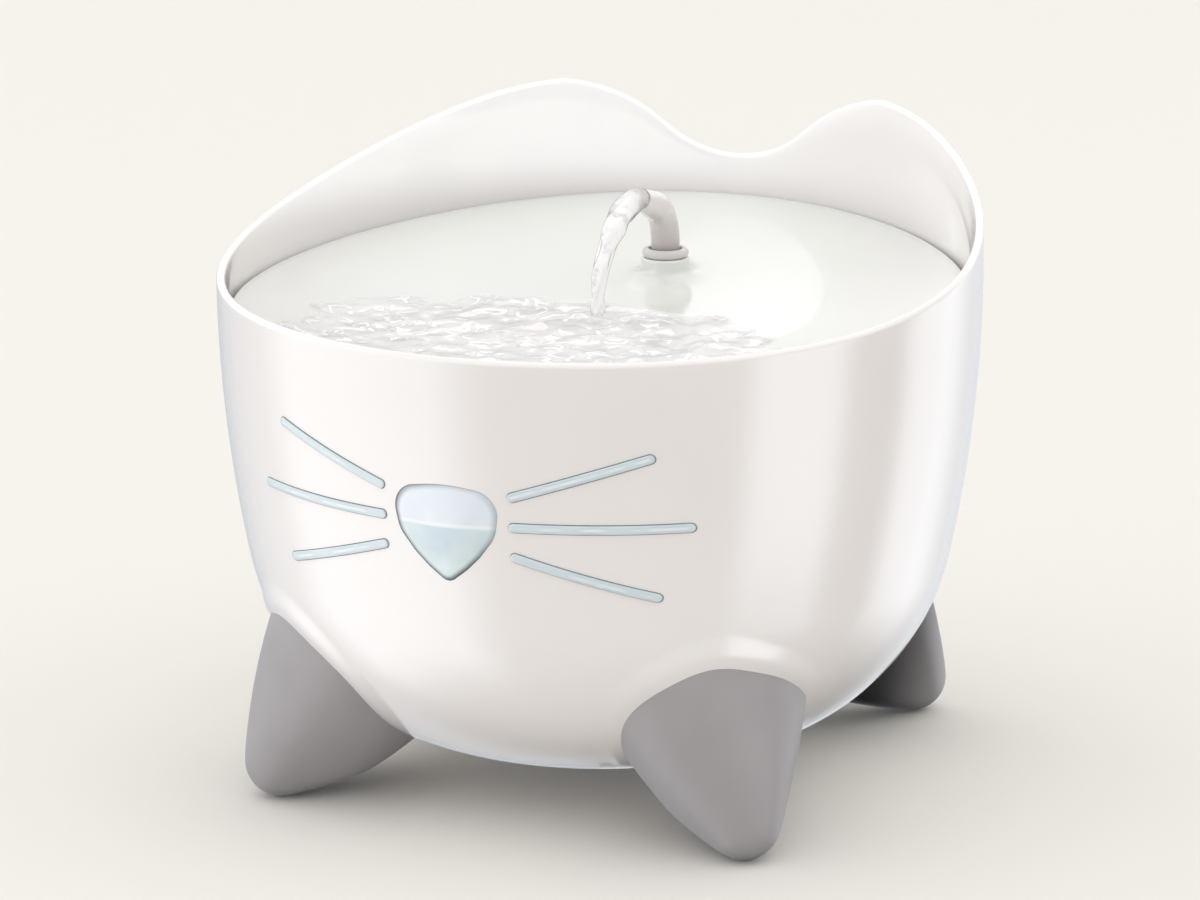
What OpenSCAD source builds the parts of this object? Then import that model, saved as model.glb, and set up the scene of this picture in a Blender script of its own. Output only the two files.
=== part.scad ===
// Pet water fountain: a round reservoir bowl with two ears, a face of clear windows,
// four feet, a drinking tray with a swivelling spout, a filter basket that slides out
// from under the tray, and a submersible pump with a lift-off intake cap.
// Millimetres. The origin is on the bowl's axis at the ground. The face looks along -Y.

/* [Bowl] */
// Outside radius of the bowl where it is widest
bowl_r = 127.5; // [124:0.5:131]
// Height of the bowl's underside above the ground
bowl_lift = 13.5; // [12:0.5:16]
// Height at which the bowl is widest
bowl_wide_z = 170; // [166:1:174]
// Radius of the long curve of the side wall
side_curve = 467; // [430:1:520]
// Radius of the curve that joins the side wall to the floor
corner_curve = 79; // [74:1:84]
// Thickness of the side wall
wall = 3; // [2.6:0.1:3.4]
// Thickness of the floor
floor_t = 4; // [3.6:0.1:5]

/* [Rim and ears] */
// Height of the rim at the front
rim_front_z = 167.7; // [165:0.1:170]
// Height of the tops of the ears
ear_z = 215; // [210:0.5:220]
// Distance of each ear's top from the middle plane
ear_x = 68; // [64:1:72]
// Distance of the ears' tops behind the axis
ear_y = 115; // [110:1:118]
// Height of the rim in the dip between the ears
dip_z = 189; // [186:0.5:193]
// Radius of the dip between the ears
dip_curve = 40; // [34:1:46]
// How much thinner the wall is at the tops of the ears
ear_thinning = 0.9; // [0.4:0.1:1.2]

/* [Face windows] */
// Height of the middle whisker windows
face_z = 114.3; // [112:0.1:117]
// Width of the nose window
nose_w = 35; // [32:0.5:38]
// Height of the nose window
nose_h = 32; // [30:0.5:34]
// Height of the top of the nose above the middle whiskers
nose_rise = 12.4; // [10:0.1:14]
// Width of a whisker window
whisker_w = 3.4; // [3:0.1:4]
// Distance of the whiskers' inner ends from the middle plane
whisker_in = 22.5; // [21.5:0.5:25]
// Distance of the outer whisker ends from the middle plane
whisker_out = 63; // [58:1:66]
// Distance of the middle whiskers' outer ends from the middle plane
whisker_out_middle = 73; // [66:1:76]
// How far the windows stand proud of the wall
window_proud = 0.6; // [0.3:0.1:0.9]
// Width of the hidden flange around a window
window_flange = 1.5; // [1.2:0.1:1.7]
// Thickness of that flange
window_flange_t = 1.6; // [1.2:0.1:2]
// Clearance around a window in its opening
window_gap = 0.1; // [0.05:0.05:0.2]

/* [Feet] */
// Angle of the front feet from the front
front_foot_angle = 48; // [44:1:50]
// Angle of the rear feet from the back
rear_foot_angle = 41; // [38:1:46]
// How far a front foot's tip reaches from the bowl's axis
front_foot_reach = 125.5; // [122:0.5:127]
// How far a rear foot's tip reaches, a little further to carry the ears
rear_foot_reach = 131; // [126:0.5:132]
// Radius of the rounded tip
foot_tip_r = 13; // [12:0.5:14]
// Radius of the flat pad that a foot stands on
foot_pad_r = 4; // [3:0.5:5]
// Width of a foot across its shoulders
foot_w = 56; // [50:1:60]
// Height of the top of a foot above the bowl's underside
foot_h = 51.5; // [49:0.5:54]
// Radius of the moulded brow over a foot
brow_r = 5; // [4:0.5:6]
// Radius of the arch that the brow makes
brow_arch = 22; // [20:0.5:24]
// Radius of the foot screw's shank
screw_r = 1.5; // [1.25:0.05:1.75]
// Radius of the foot screw's head
screw_head_r = 3.4; // [3:0.1:3.8]
// Height of the foot screw's head
screw_head_h = 2.4; // [2:0.1:3]
// Length of the foot screw's shank
screw_l = 28; // [26:0.5:30]

/* [Tray] */
// Clearance between the foot of the tray and the bowl; it widens upwards to the seam
tray_gap = 0.6; // [0.4:0.1:0.9]
// Height of the seats that the tray rests on
tray_seat_z = 148; // [146:0.5:150]
// Number of tray seats
seat_count = 7; // [5:1:9]
// Height of the lowest point of the dish above the seats
dish_rise = 2; // [1.5:0.1:3]
// Distance of the lowest point of the dish in front of the axis
dish_y = 27; // [22:1:32]
// Radius of the dish from front to back
dish_curve_y = 460; // [430:5:500]
// Radius of the dish from side to side
dish_curve_x = 680; // [600:5:800]
// Thickness of the tray
tray_t = 2.4; // [2:0.1:2.8]
// Number of drain slots
drain_count = 5; // [3:1:7]
// Width of a drain slot
drain_w = 3.2; // [2.4:0.1:4]
// Length of a drain slot
drain_l = 12; // [8:0.5:14]

/* [Spout] */
// Distance of the spout behind the axis
spout_y = 58; // [56:0.5:60]
// Outside radius of the spout tube
spout_r = 5; // [4.7:0.1:5.4]
// Wall of the spout tube
spout_wall = 1.3; // [1:0.1:1.6]
// Radius of the bend, on the tube's centre line
bend_r = 16; // [14:0.5:18]
// Angle of the bend
bend_a = 70; // [60:1:80]
// Straight length between the collar and the bend
stem_l = 1.6; // [1:0.1:4]
// Length of the tapered nozzle after the bend
nozzle_l = 13; // [10:0.5:16]
// Outside radius of the nozzle's mouth
mouth_r = 3.6; // [3.2:0.1:4]
// How far the spout plugs into the riser
plug_l = 20; // [16:1:24]
// Height of the boss around the spout above the dish
boss_h = 6.3; // [5:0.1:8]
// Radius of the collar's flange
collar_r = 8.1; // [7.9:0.1:8.8]
// Thickness of the collar's flange
collar_t = 3.2; // [2.6:0.1:3.6]
// Wall of the collar's sleeve
sleeve_t = 1.2; // [1:0.1:1.4]
// Length of the collar's sleeve
sleeve_l = 9; // [7:0.5:11]
// Radial running clearance of turning and sliding tubes
run_gap = 0.05; // [0.03:0.01:0.08]

/* [Filter] */
// Width of the filter basket
basket_w = 84; // [76:1:88]
// Length of the filter basket from front to back
basket_l = 50; // [44:1:52]
// Depth of the filter basket
basket_h = 25; // [22:1:28]
// Distance of the basket's front from the tray's edge
basket_inset = 19.5; // [18:0.5:23]
// Wall of the basket
basket_t = 1.8; // [1.4:0.1:2.2]
// Width of the flange that runs in the rails
rail_w = 3.5; // [3:0.1:4]
// Clearance of the flange in the rails
rail_gap = 0.35; // [0.3:0.05:0.5]
// Thickness of the carbon pad
carbon_t = 10; // [8:0.5:12]
// Thickness of the foam pad
foam_t = 7; // [5:0.5:8]

/* [Pump] */
// Distance of the pump's axis behind the bowl's axis
pump_y = 26; // [24:0.5:26.5]
// Radius of the pump's body
pump_r = 23; // [21.5:0.5:23.5]
// Height of the pump's body
pump_h = 30; // [28:0.5:32]
// Radius of the impeller chamber
chamber_r = 16; // [15:0.5:17]
// Depth of the impeller chamber
chamber_h = 8; // [7:0.5:9]
// Clearance around the impeller
impeller_gap = 1; // [0.8:0.1:1.4]
// Number of impeller blades
blade_count = 6; // [4:1:8]
// Radius of the rotor magnet
magnet_r = 7.4; // [7:0.1:8]
// Length of the rotor magnet
magnet_l = 15; // [13:0.5:16]
// Radius of the impeller shaft
shaft_r = 1.5; // [1.25:0.05:1.75]
// Wall of a shaft bush
bush_t = 1.6; // [1.3:0.1:2]
// Wall of the outlet pipe
pipe_t = 1.3; // [1:0.1:1.5]
// Wall of the riser tube
riser_t = 1.7; // [1.4:0.1:2]
// Height of the intake cap
cap_h = 16; // [14:0.5:18]
// Wall of the intake cap
cap_t = 1.8; // [1.5:0.1:2.2]
// Number of intake slots around the cap
slot_count = 20; // [14:1:24]
// Width of an intake slot
slot_w = 2.4; // [1.8:0.1:2.8]
// Radius of the flow dial
dial_r = 10; // [9:0.5:11]
// Height of a suction cup
cup_h = 5; // [4.5:0.1:7]
// Radius of a suction cup
cup_r = 6; // [5:0.1:6.4]
// Distance of the suction cups from the pump's axis
cup_ring = 14.5; // [13.5:0.5:15]

/* [Cord outlet] */
// Height of the cord outlet in the rear wall
grommet_z = 139; // [136:0.5:141]
// Radius of the grommet's bore, for a 4 mm cord
grommet_bore_r = 2.1; // [1.8:0.1:2.4]
// Radius of the hole in the wall
grommet_hole_r = 3.8; // [3.6:0.1:4.2]
// Radius of the grommet's flanges
grommet_flange_r = 5.4; // [5:0.1:6]

/* [Hidden] */

$fn = 64;
BIG = 400;
EPS = 0.01;
MAIN_FN = 180;   // facets of the big revolved shells
ARC_FN = 720;    // facets of the long arcs
HULL_FN = 28;    // facets of the spheres inside a hull
SNUG = 0.02;     // clearance of a pushed-in piece

// Bowl section: the side arc and the corner arc meet where their tangents agree
corner_cz = bowl_lift + corner_curve;
arc_gap = side_curve - corner_curve;
arc_rise = bowl_wide_z - corner_cz;
side_cx = bowl_r - side_curve;
corner_cx = side_cx + sqrt(arc_gap * arc_gap - arc_rise * arc_rise);
rim_top = ear_z + 4;
inner_r = bowl_r - wall;
floor_z = bowl_lift + floor_t;
function join_z(inset) = bowl_wide_z - (side_curve - inset) * arc_rise / arc_gap;
function corner_z(r, inset) = corner_cz - sqrt(pow(corner_curve - inset, 2) - pow(r - corner_cx, 2));
function side_r_at(z, inset) = side_cx + sqrt(pow(side_curve - inset, 2) - pow(z - bowl_wide_z, 2));
function corner_r_at(z) = corner_cx + sqrt(pow(corner_curve, 2) - pow(z - corner_cz, 2));

// Rim: the arcs of the dip and of the ear tops touch where their tangents agree
ear_drop = ear_z - dip_z;
arcs_sum = (ear_x * ear_x + ear_drop * ear_drop) / (2 * ear_drop);
ear_curve = arcs_sum - dip_curve;
arcs_join_z = dip_z + dip_curve - dip_curve * (arcs_sum - ear_drop) / arcs_sum;
RIM_STEPS = 40;
rim_line = [[-bowl_r, rim_front_z], [50, rim_front_z + 2.3], [ear_y - 30, ear_z - 1.3], [ear_y, ear_z]];
function bezier(p, t) = p[0] * pow(1 - t, 3) + 3 * p[1] * t * pow(1 - t, 2)
    + 3 * p[2] * t * t * (1 - t) + p[3] * pow(t, 3);

// Face: whiskers fan out by these heights from the middle ones
whisker_fan_in = 10;
whisker_fan_out = 23;

// Feet, in a frame whose X points outward along the foot
FEET = [[front_foot_angle, front_foot_reach], [180 - rear_foot_angle, rear_foot_reach]];
tip_z = sqrt(foot_tip_r * foot_tip_r - foot_pad_r * foot_pad_r);
foot_top_r = 11;
foot_top_in = 21.5;
foot_top_x = bowl_r - foot_top_in;
foot_top_z = bowl_lift + foot_h - foot_top_r;
shoulder_r = 9.5;
shoulder_in = 27;
shoulder_drop = 4;
shoulder_x = bowl_r - shoulder_in;
shoulder_z = foot_top_z - shoulder_drop;
heel_r = 7;
heel_in = 46.8;
heel_apart = 32;
heel_rise = 9;
heel_x = bowl_r - heel_in;
heel_z = bowl_lift + heel_rise;
sole_r = 10;
sole_in = 34.8;
sole_apart = 12;
sole_rise = 2.5;
sole_x = bowl_r - sole_in;
sole_z = tip_z + sole_rise;
BROW_SWEEP = 180;
BROW_LEAN = 40;  // the arch leans outwards, so that its ends sink into the foot
brow_rise = 38;
brow_depth = 1.5;
brow_z = bowl_lift + brow_rise;
brow_top_z = brow_z + brow_arch * cos(BROW_LEAN);
brow_x = corner_r_at(brow_top_z) - brow_depth - brow_arch * sin(BROW_LEAN);
screw_in = 35.3;
screw_x = bowl_r - screw_in;
boss_r = 4.5;
boss_rise = 14.5;
boss_cap = 4;
boss_top_z = corner_z(screw_x, 0) + boss_rise;
screw_top_z = boss_top_z - boss_cap;
screw_seat_z = screw_top_z - screw_l;
pilot_spare = 1;

// Tray
tray_r = side_r_at(tray_seat_z, wall) - tray_gap;
dish_z = tray_seat_z + dish_rise;
DISH_SWEEP = 26;
DISH_DEPTH = 60;
function dish_at(y) = dish_z + dish_curve_y - sqrt(pow(dish_curve_y, 2) - pow(y + dish_y, 2));
seat_reach = 3.5;
seat_w = 4;
seat_h = 14;
drain_step = 11;
drain_inset = 27.4;
drain_r = tray_r - drain_inset;

// Spout and riser
boss_top = dish_at(spout_y) + boss_h;
tray_boss_r = collar_r + 0.4;
tray_boss_foot_r = tray_boss_r + 4.5;
collar_bore_r = spout_r + run_gap;
sleeve_r = collar_bore_r + sleeve_t;
collar_top = boss_top + collar_t;
bend_z = collar_top + stem_l;
riser_top = tray_seat_z - 1;
riser_in_r = spout_r + run_gap;
riser_r = riser_in_r + riser_t;
pump_z = floor_z + cup_h;
pump_top = pump_z + pump_h;
chamber_z = pump_top - chamber_h;
outlet_z = chamber_z + chamber_h / 2;
pipe_r = chamber_h / 2 - 0.2;
nipple_l = 17;
shoulder_t = 2;
riser_base = outlet_z + spout_r + shoulder_t;

// Filter
rail_t = 1.8;
flange_z = tray_seat_z - 1.4;
rail_z = flange_z - 2 * rail_t;
basket_z = flange_z - basket_h;
basket_front = tray_r - basket_inset;
basket_mid_y = basket_l / 2 - basket_front;
rail_x = basket_w / 2 + rail_w + rail_gap;
PAD_GAP = 0.4;

// Pump
cup_peg_r = 2.4;
cup_peg_l = 2.6;
bush_r = shaft_r + bush_t;
bush_h = 3.2;
well_r = magnet_r + 0.8;
well_z = chamber_z - magnet_l - 2.5;
magnet_z = well_z + 1;
cover_t = 2.4;
cover_top = pump_top + cover_t;
hub_h = 3.4;
eye_r = 9;
cap_z = cover_top;
cap_top = cap_z + cap_h;
dial_pin_r = 1.6;
blade_z = chamber_z + 0.8;
blade_h = pump_top - blade_z - 1;
blade_r = chamber_r - impeller_gap;

// Turns a piece so that its X axis points at an angle from the front
module at(angle) {
    rotate([0, 0, angle - 90]) children();
}

// Half section of the bowl, moved inwards by inset, from base_z to the top. The
// corner arc stands a hair proud of the side arc, so that the two don't graze.
module bowl_section(inset, base_z, lean) {
    z_join = join_z(inset);
    intersection() {
        translate([side_cx, bowl_wide_z]) circle(r = side_curve - inset, $fn = ARC_FN);
        translate([0, z_join]) square([bowl_r + 5, bowl_wide_z - z_join]);
    }
    intersection() {
        translate([corner_cx, corner_cz]) circle(r = corner_curve - inset + EPS, $fn = ARC_FN / 2);
        translate([0, base_z]) square([bowl_r + 5, z_join - base_z]);
    }
    translate([0, base_z]) square([corner_cx, z_join - base_z]);
    polygon([[0, bowl_wide_z], [bowl_r - inset, bowl_wide_z],
        [bowl_r - inset - lean, rim_top], [0, rim_top]]);
}

module bowl_solid(proud = 0) {
    rotate_extrude($fn = MAIN_FN) bowl_section(-proud, bowl_lift, ear_thinning);
}

module bowl_room(shrink = 0) {
    rotate_extrude($fn = MAIN_FN) bowl_section(wall + shrink, floor_z + shrink, 0);
}

// Everything above the rim line of the ears
module above_rim() {
    rotate([90, 0, 90]) linear_extrude(BIG, center = true)
        polygon(concat(
            [[-bowl_r - 5, rim_front_z]],
            [for (i = [0:RIM_STEPS]) bezier(rim_line, i / RIM_STEPS)],
            [[bowl_r + 5, ear_z], [bowl_r + 5, rim_top + 5], [-bowl_r - 5, rim_top + 5]]));
    translate([0, BIG / 2, 0]) rotate([90, 0, 0]) linear_extrude(BIG / 2) {
        translate([0, dip_z + dip_curve]) circle(r = dip_curve, $fn = ARC_FN / 4);
        difference() {
            translate([-ear_x, arcs_join_z]) square([2 * ear_x, rim_top + 5 - arcs_join_z]);
            for (side = [-1, 1])
                translate([side * ear_x, ear_z - ear_curve]) circle(r = ear_curve, $fn = ARC_FN / 4);
        }
    }
}

// Bar with round ends between two points; its sides lie a hair inside the ends
module slot_shape(from, to, w) {
    along = to - from;
    translate(from) circle(r = w / 2);
    translate(to) circle(r = w / 2);
    translate(from) rotate(atan2(along[1], along[0]))
        translate([0, EPS - w / 2]) square([norm(along), w - 2 * EPS]);
}

// Outline of the nose: a triangle with rounded corners and full cheeks
module nose_shape(grow = 0) {
    top = face_z + nose_rise;
    half = nose_w / 2;
    brow_round = 8;
    jaw_round = 10;
    tip_round = 3.2;
    top_curve = 60;
    top_flat = 6;
    hull() {
        for (side = [-1, 1]) {
            translate([side * (half - brow_round), top - brow_round - 0.9]) circle(r = brow_round + grow);
            translate([side * (half - jaw_round - 0.6), top - jaw_round - 2.1]) circle(r = jaw_round + grow);
        }
        translate([0, top - nose_h + tip_round]) circle(r = tip_round + grow);
        intersection() {
            translate([0, top - top_curve]) circle(r = top_curve + grow, $fn = ARC_FN / 4);
            translate([-top_flat, top - nose_h]) square([2 * top_flat, 2 * nose_h]);
        }
    }
}

// Drives a face outline through the front wall
module through_front() {
    rotate([90, 0, 0]) linear_extrude(bowl_r + 10) children();
}

// Window made of two outlines: the first fills the opening in the wall, and the
// second is the flange behind it, into which the first runs
module window() {
    color([0.75, 0.87, 0.88]) {
        intersection() {
            through_front() children(0);
            difference() {
                bowl_solid(window_proud);
                bowl_room(window_flange_t / 2);
            }
        }
        intersection() {
            through_front() children(1);
            difference() {
                bowl_room();
                bowl_room(window_flange_t);
            }
        }
    }
}

module whisker_shape(side, row, grow = 0) {
    out_x = row == 0 ? whisker_out_middle : whisker_out;
    slot_shape([side * whisker_in, face_z + row * whisker_fan_in],
        [side * out_x, face_z + row * whisker_fan_out], whisker_w + 2 * grow);
}

module whisker(side, row) {
    window() {
        whisker_shape(side, row, -window_gap);
        whisker_shape(side, row, window_flange);
    }
}

// Whole form of a foot, which the bowl then bites into
module foot_form(reach) {
    hull() {
        translate([reach - foot_tip_r, 0, tip_z]) sphere(r = foot_tip_r, $fn = HULL_FN);
        translate([foot_top_x, 0, foot_top_z]) sphere(r = foot_top_r, $fn = HULL_FN);
        for (side = [-1, 1]) {
            translate([sole_x, side * sole_apart / 2, sole_z]) sphere(r = sole_r, $fn = HULL_FN);
            translate([heel_x, side * heel_apart / 2, heel_z]) sphere(r = heel_r, $fn = HULL_FN);
            translate([shoulder_x, side * (foot_w / 2 - shoulder_r), shoulder_z])
                sphere(r = shoulder_r, $fn = HULL_FN);
        }
    }
}

// Rounded brow that the shell forms over a foot
module brow() {
    translate([brow_x, 0, brow_z]) rotate([0, BROW_LEAN, 0]) rotate([0, 90, 0])
        rotate([0, 0, 180 - BROW_SWEEP / 2]) rotate_extrude(angle = BROW_SWEEP, $fn = MAIN_FN)
            translate([brow_arch, 0]) circle(r = brow_r, $fn = 48);
}

module foot_hole() {
    translate([screw_x, 0, -EPS]) cylinder(r = screw_r + 0.25, h = BIG / 4);
    translate([screw_x, 0, -EPS]) cylinder(r = screw_head_r + 0.4, h = screw_seat_z + EPS);
}

module foot(side, angle, reach) {
    color([0.62, 0.61, 0.61]) difference() {
        at(side * angle) foot_form(reach);
        bowl_solid();
        at(side * angle) brow();
        translate([0, 0, -BIG / 2]) cube(BIG, center = true);
        at(side * angle) foot_hole();
    }
}

module reservoir_bowl() {
    color([0.96, 0.95, 0.94]) difference() {
        union() {
            difference() {
                union() {
                    bowl_solid();
                    for (side = [-1, 1], foot = FEET) at(side * foot[0]) brow();
                }
                bowl_room();
            }
            intersection() {
                bowl_solid();
                union() {
                    for (side = [-1, 1], foot = FEET) at(side * foot[0])
                        translate([screw_x, 0, bowl_lift]) cylinder(r = boss_r, h = boss_top_z - bowl_lift);
                    for (i = [0:seat_count - 1]) at(i * 360 / seat_count) tray_seat();
                }
            }
        }
        above_rim();
        through_front() nose_shape();
        for (side = [-1, 1], row = [-1:1]) through_front() whisker_shape(side, row);
        for (side = [-1, 1], foot = FEET) at(side * foot[0])
            translate([screw_x, 0, 0]) cylinder(r = screw_r + SNUG, h = screw_top_z + pilot_spare);
        translate([0, inner_r - 10, grommet_z]) rotate([-90, 0, 0]) cylinder(r = grommet_hole_r, h = 30);
    }
}

// Gusset on the wall whose flat top carries the tray
module tray_seat() {
    reach = tray_r - seat_reach - tray_t;
    rotate([90, 0, 0]) linear_extrude(seat_w, center = true)
        polygon([[reach, tray_seat_z], [bowl_r, tray_seat_z], [bowl_r, tray_seat_z - seat_h - 8],
            [inner_r, tray_seat_z - seat_h], [reach, tray_seat_z - 3]]);
}

module nose_window() {
    window() {
        nose_shape(-window_gap);
        nose_shape(window_flange);
    }
}

module whisker_left_top() { whisker(-1, 1); }
module whisker_left_middle() { whisker(-1, 0); }
module whisker_left_low() { whisker(-1, -1); }
module whisker_right_top() { whisker(1, 1); }
module whisker_right_middle() { whisker(1, 0); }
module whisker_right_low() { whisker(1, -1); }

module foot_front_left() { foot(-1, FEET[0][0], FEET[0][1]); }
module foot_front_right() { foot(1, FEET[0][0], FEET[0][1]); }
module foot_rear_left() { foot(-1, FEET[1][0], FEET[1][1]); }
module foot_rear_right() { foot(1, FEET[1][0], FEET[1][1]); }

module foot_screws() {
    color([0.7, 0.71, 0.73]) for (side = [-1, 1], foot = FEET) at(side * foot[0]) {
        translate([screw_x, 0, screw_seat_z - screw_head_h]) cylinder(r = screw_head_r, h = screw_head_h);
        translate([screw_x, 0, screw_seat_z - EPS]) cylinder(r = screw_r, h = screw_l + EPS);
    }
}

// Rubber bush that lines the cord's hole in the rear wall, with a flange on each side
module cord_grommet() {
    out_y = side_r_at(grommet_z, 0);
    in_y = side_r_at(grommet_z, wall);
    flange_t = 1;
    long = out_y - in_y + 2 * flange_t;
    color([0.35, 0.35, 0.36]) difference() {
        union() {
            along_cord(in_y - flange_t) cylinder(r = grommet_hole_r - SNUG, h = long);
            difference() {
                along_cord(in_y) cylinder(r = grommet_flange_r, h = long - flange_t);
                bowl_solid(SNUG);
            }
            intersection() {
                along_cord(in_y - flange_t) cylinder(r = grommet_flange_r, h = long - flange_t);
                bowl_room(SNUG);
            }
        }
        along_cord(in_y - 2 * flange_t) cylinder(r = grommet_bore_r, h = 2 * long);
    }
}

// Turns a piece's Z axis to the cord's way out and moves it to a distance behind the axis
module along_cord(y) {
    translate([0, y, grommet_z]) rotate([-90, 0, 0]) children();
}

// Everything above the drinking surface, or above that surface lowered by t
module above_dish(t = 0) {
    ring = dish_curve_x - dish_curve_y;
    translate([0, -dish_y, dish_z + dish_curve_x]) rotate([90, 0, 0])
        rotate([0, 0, 270 - DISH_SWEEP / 2]) rotate_extrude(angle = DISH_SWEEP, $fn = ARC_FN)
            intersection() {
                translate([ring, 0]) circle(r = dish_curve_y + t, $fn = ARC_FN);
                translate([dish_curve_x - DISH_DEPTH, -BIG / 2]) square([DISH_DEPTH + 5, BIG]);
            }
}

module drain_slots() {
    for (i = [0:drain_count - 1])
        at((i - (drain_count - 1) / 2) * drain_step)
            translate([0, 0, tray_seat_z - 5]) linear_extrude(30)
                slot_shape([drain_r - drain_l / 2, 0], [drain_r + drain_l / 2, 0], drain_w);
}

// Two rails under the tray with a stop across their front ends
module filter_rails() {
    front = -basket_front - rail_t - rail_gap;
    rail_l = basket_l + 2 * rail_t;
    for (side = [-1, 1]) {
        translate([side * (rail_x + rail_t / 2) - rail_t / 2, front, rail_z])
            cube([rail_t, rail_l, DISH_DEPTH]);
        translate([side * (rail_x - rail_w / 2) - rail_w / 2, front, rail_z])
            cube([rail_w, rail_l, rail_t]);
    }
    translate([-rail_x, front, rail_z]) cube([2 * rail_x, rail_t, DISH_DEPTH]);
}

// Full round block that the tray is shaped from
module tray_blank() {
    translate([0, 0, tray_seat_z]) cylinder(r = tray_r, h = DISH_DEPTH / 2, $fn = MAIN_FN);
}

module drinking_tray() {
    color([0.97, 0.97, 0.96]) difference() {
        union() {
            difference() {
                union() {
                    intersection() {
                        tray_blank();
                        above_dish(tray_t);
                    }
                    difference() {
                        tray_blank();
                        translate([0, 0, tray_seat_z - 1])
                            cylinder(r = tray_r - tray_t, h = DISH_DEPTH, $fn = MAIN_FN);
                    }
                    filter_rails();
                }
                above_dish();
            }
            translate([0, spout_y, riser_top + 1]) cylinder(r = tray_boss_r, h = boss_top - riser_top - 1);
            translate([0, spout_y, dish_at(spout_y) - 1])
                cylinder(r1 = tray_boss_foot_r, r2 = tray_boss_r, h = boss_h);
        }
        translate([0, spout_y, 0]) cylinder(r = sleeve_r + SNUG, h = BIG);
        drain_slots();
    }
}

module spout_collar() {
    color([0.83, 0.82, 0.81]) translate([0, spout_y, 0]) rotate_extrude() difference() {
        union() {
            translate([collar_bore_r, boss_top - sleeve_l]) square([sleeve_t, sleeve_l + EPS]);
            translate([collar_bore_r, boss_top]) square([collar_r - collar_t / 2 - collar_bore_r, collar_t]);
            translate([collar_r - collar_t / 2, boss_top + collar_t / 2]) circle(r = collar_t / 2);
        }
        translate([0, boss_top - sleeve_l - 1]) square([collar_bore_r, sleeve_l + collar_t + 2]);
    }
}

// Solid that follows the spout's path, inset from its outside. The bend is a hair
// thinner than the straights, so that their round faces don't coincide.
module spout_path(inset, over = 0) {
    stem_z = riser_top - plug_l - over;
    r = spout_r - inset;
    taper = (spout_r - mouth_r) / nozzle_l;
    translate([0, spout_y, stem_z]) cylinder(r = r, h = bend_z - stem_z + EPS);
    translate([0, spout_y - bend_r, bend_z]) {
        rotate([90, 0, 90]) rotate_extrude(angle = bend_a) translate([bend_r, 0]) circle(r = r - 0.05);
        rotate([bend_a, 0, 0]) translate([0, bend_r, -EPS])
            cylinder(r1 = r, r2 = r - taper * (nozzle_l + over), h = nozzle_l + over);
    }
}

module spout() {
    color([0.80, 0.78, 0.76]) difference() {
        spout_path(0);
        spout_path(spout_wall, 1);
    }
}

module riser_tube() {
    color([0.88, 0.9, 0.9]) translate([0, spout_y, riser_base]) difference() {
        cylinder(r = riser_r, h = riser_top - riser_base);
        translate([0, 0, -1]) cylinder(r = riser_in_r, h = BIG);
    }
}

// Plate with round vertical corners, centred on X and Y
module rounded_plate(w, l, h, r) {
    translate([0, 0, h / 2]) {
        cube([w - 2 * r, l, h], center = true);
        cube([w, l - 2 * r, h], center = true);
    }
    for (sx = [-1, 1], sy = [-1, 1])
        translate([sx * (w / 2 - r), sy * (l / 2 - r), 0]) cylinder(r = r, h = h);
}

module filter_basket() {
    corner = 8;
    slots = 9;
    pitch = (basket_w - 2 * corner) / slots;
    color([0.45, 0.47, 0.49]) translate([0, basket_mid_y, 0]) difference() {
        union() {
            translate([0, 0, basket_z]) rounded_plate(basket_w, basket_l, basket_h, corner);
            translate([0, 0, flange_z - rail_t])
                rounded_plate(basket_w + 2 * rail_w, basket_l, rail_t, rail_w);
        }
        translate([0, 0, basket_z + basket_t])
            rounded_plate(basket_w - 2 * basket_t, basket_l - 2 * basket_t, basket_h, corner - basket_t);
        for (i = [0:slots - 1]) translate([(i - (slots - 1) / 2) * pitch - pitch / 4, 0, 0]) {
            translate([0, corner - basket_l / 2, 0])
                cube([pitch / 2, basket_l - 2 * corner, basket_z + basket_t + EPS]);
            translate([0, -basket_l, basket_z + 5]) cube([pitch / 2, 2 * basket_l, carbon_t]);
        }
    }
}

module filter_pad(z, t) {
    inside = basket_t + PAD_GAP;
    translate([0, basket_mid_y, z]) rounded_plate(basket_w - 2 * inside, basket_l - 2 * inside, t, 6);
}

module filter_carbon() { color([0.25, 0.26, 0.27]) filter_pad(basket_z + basket_t, carbon_t); }
module filter_foam() { color([0.93, 0.93, 0.92]) filter_pad(basket_z + basket_t + carbon_t, foam_t); }

// Moves to the pump's axis
module on_pump() {
    translate([0, pump_y, 0]) children();
}

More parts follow.
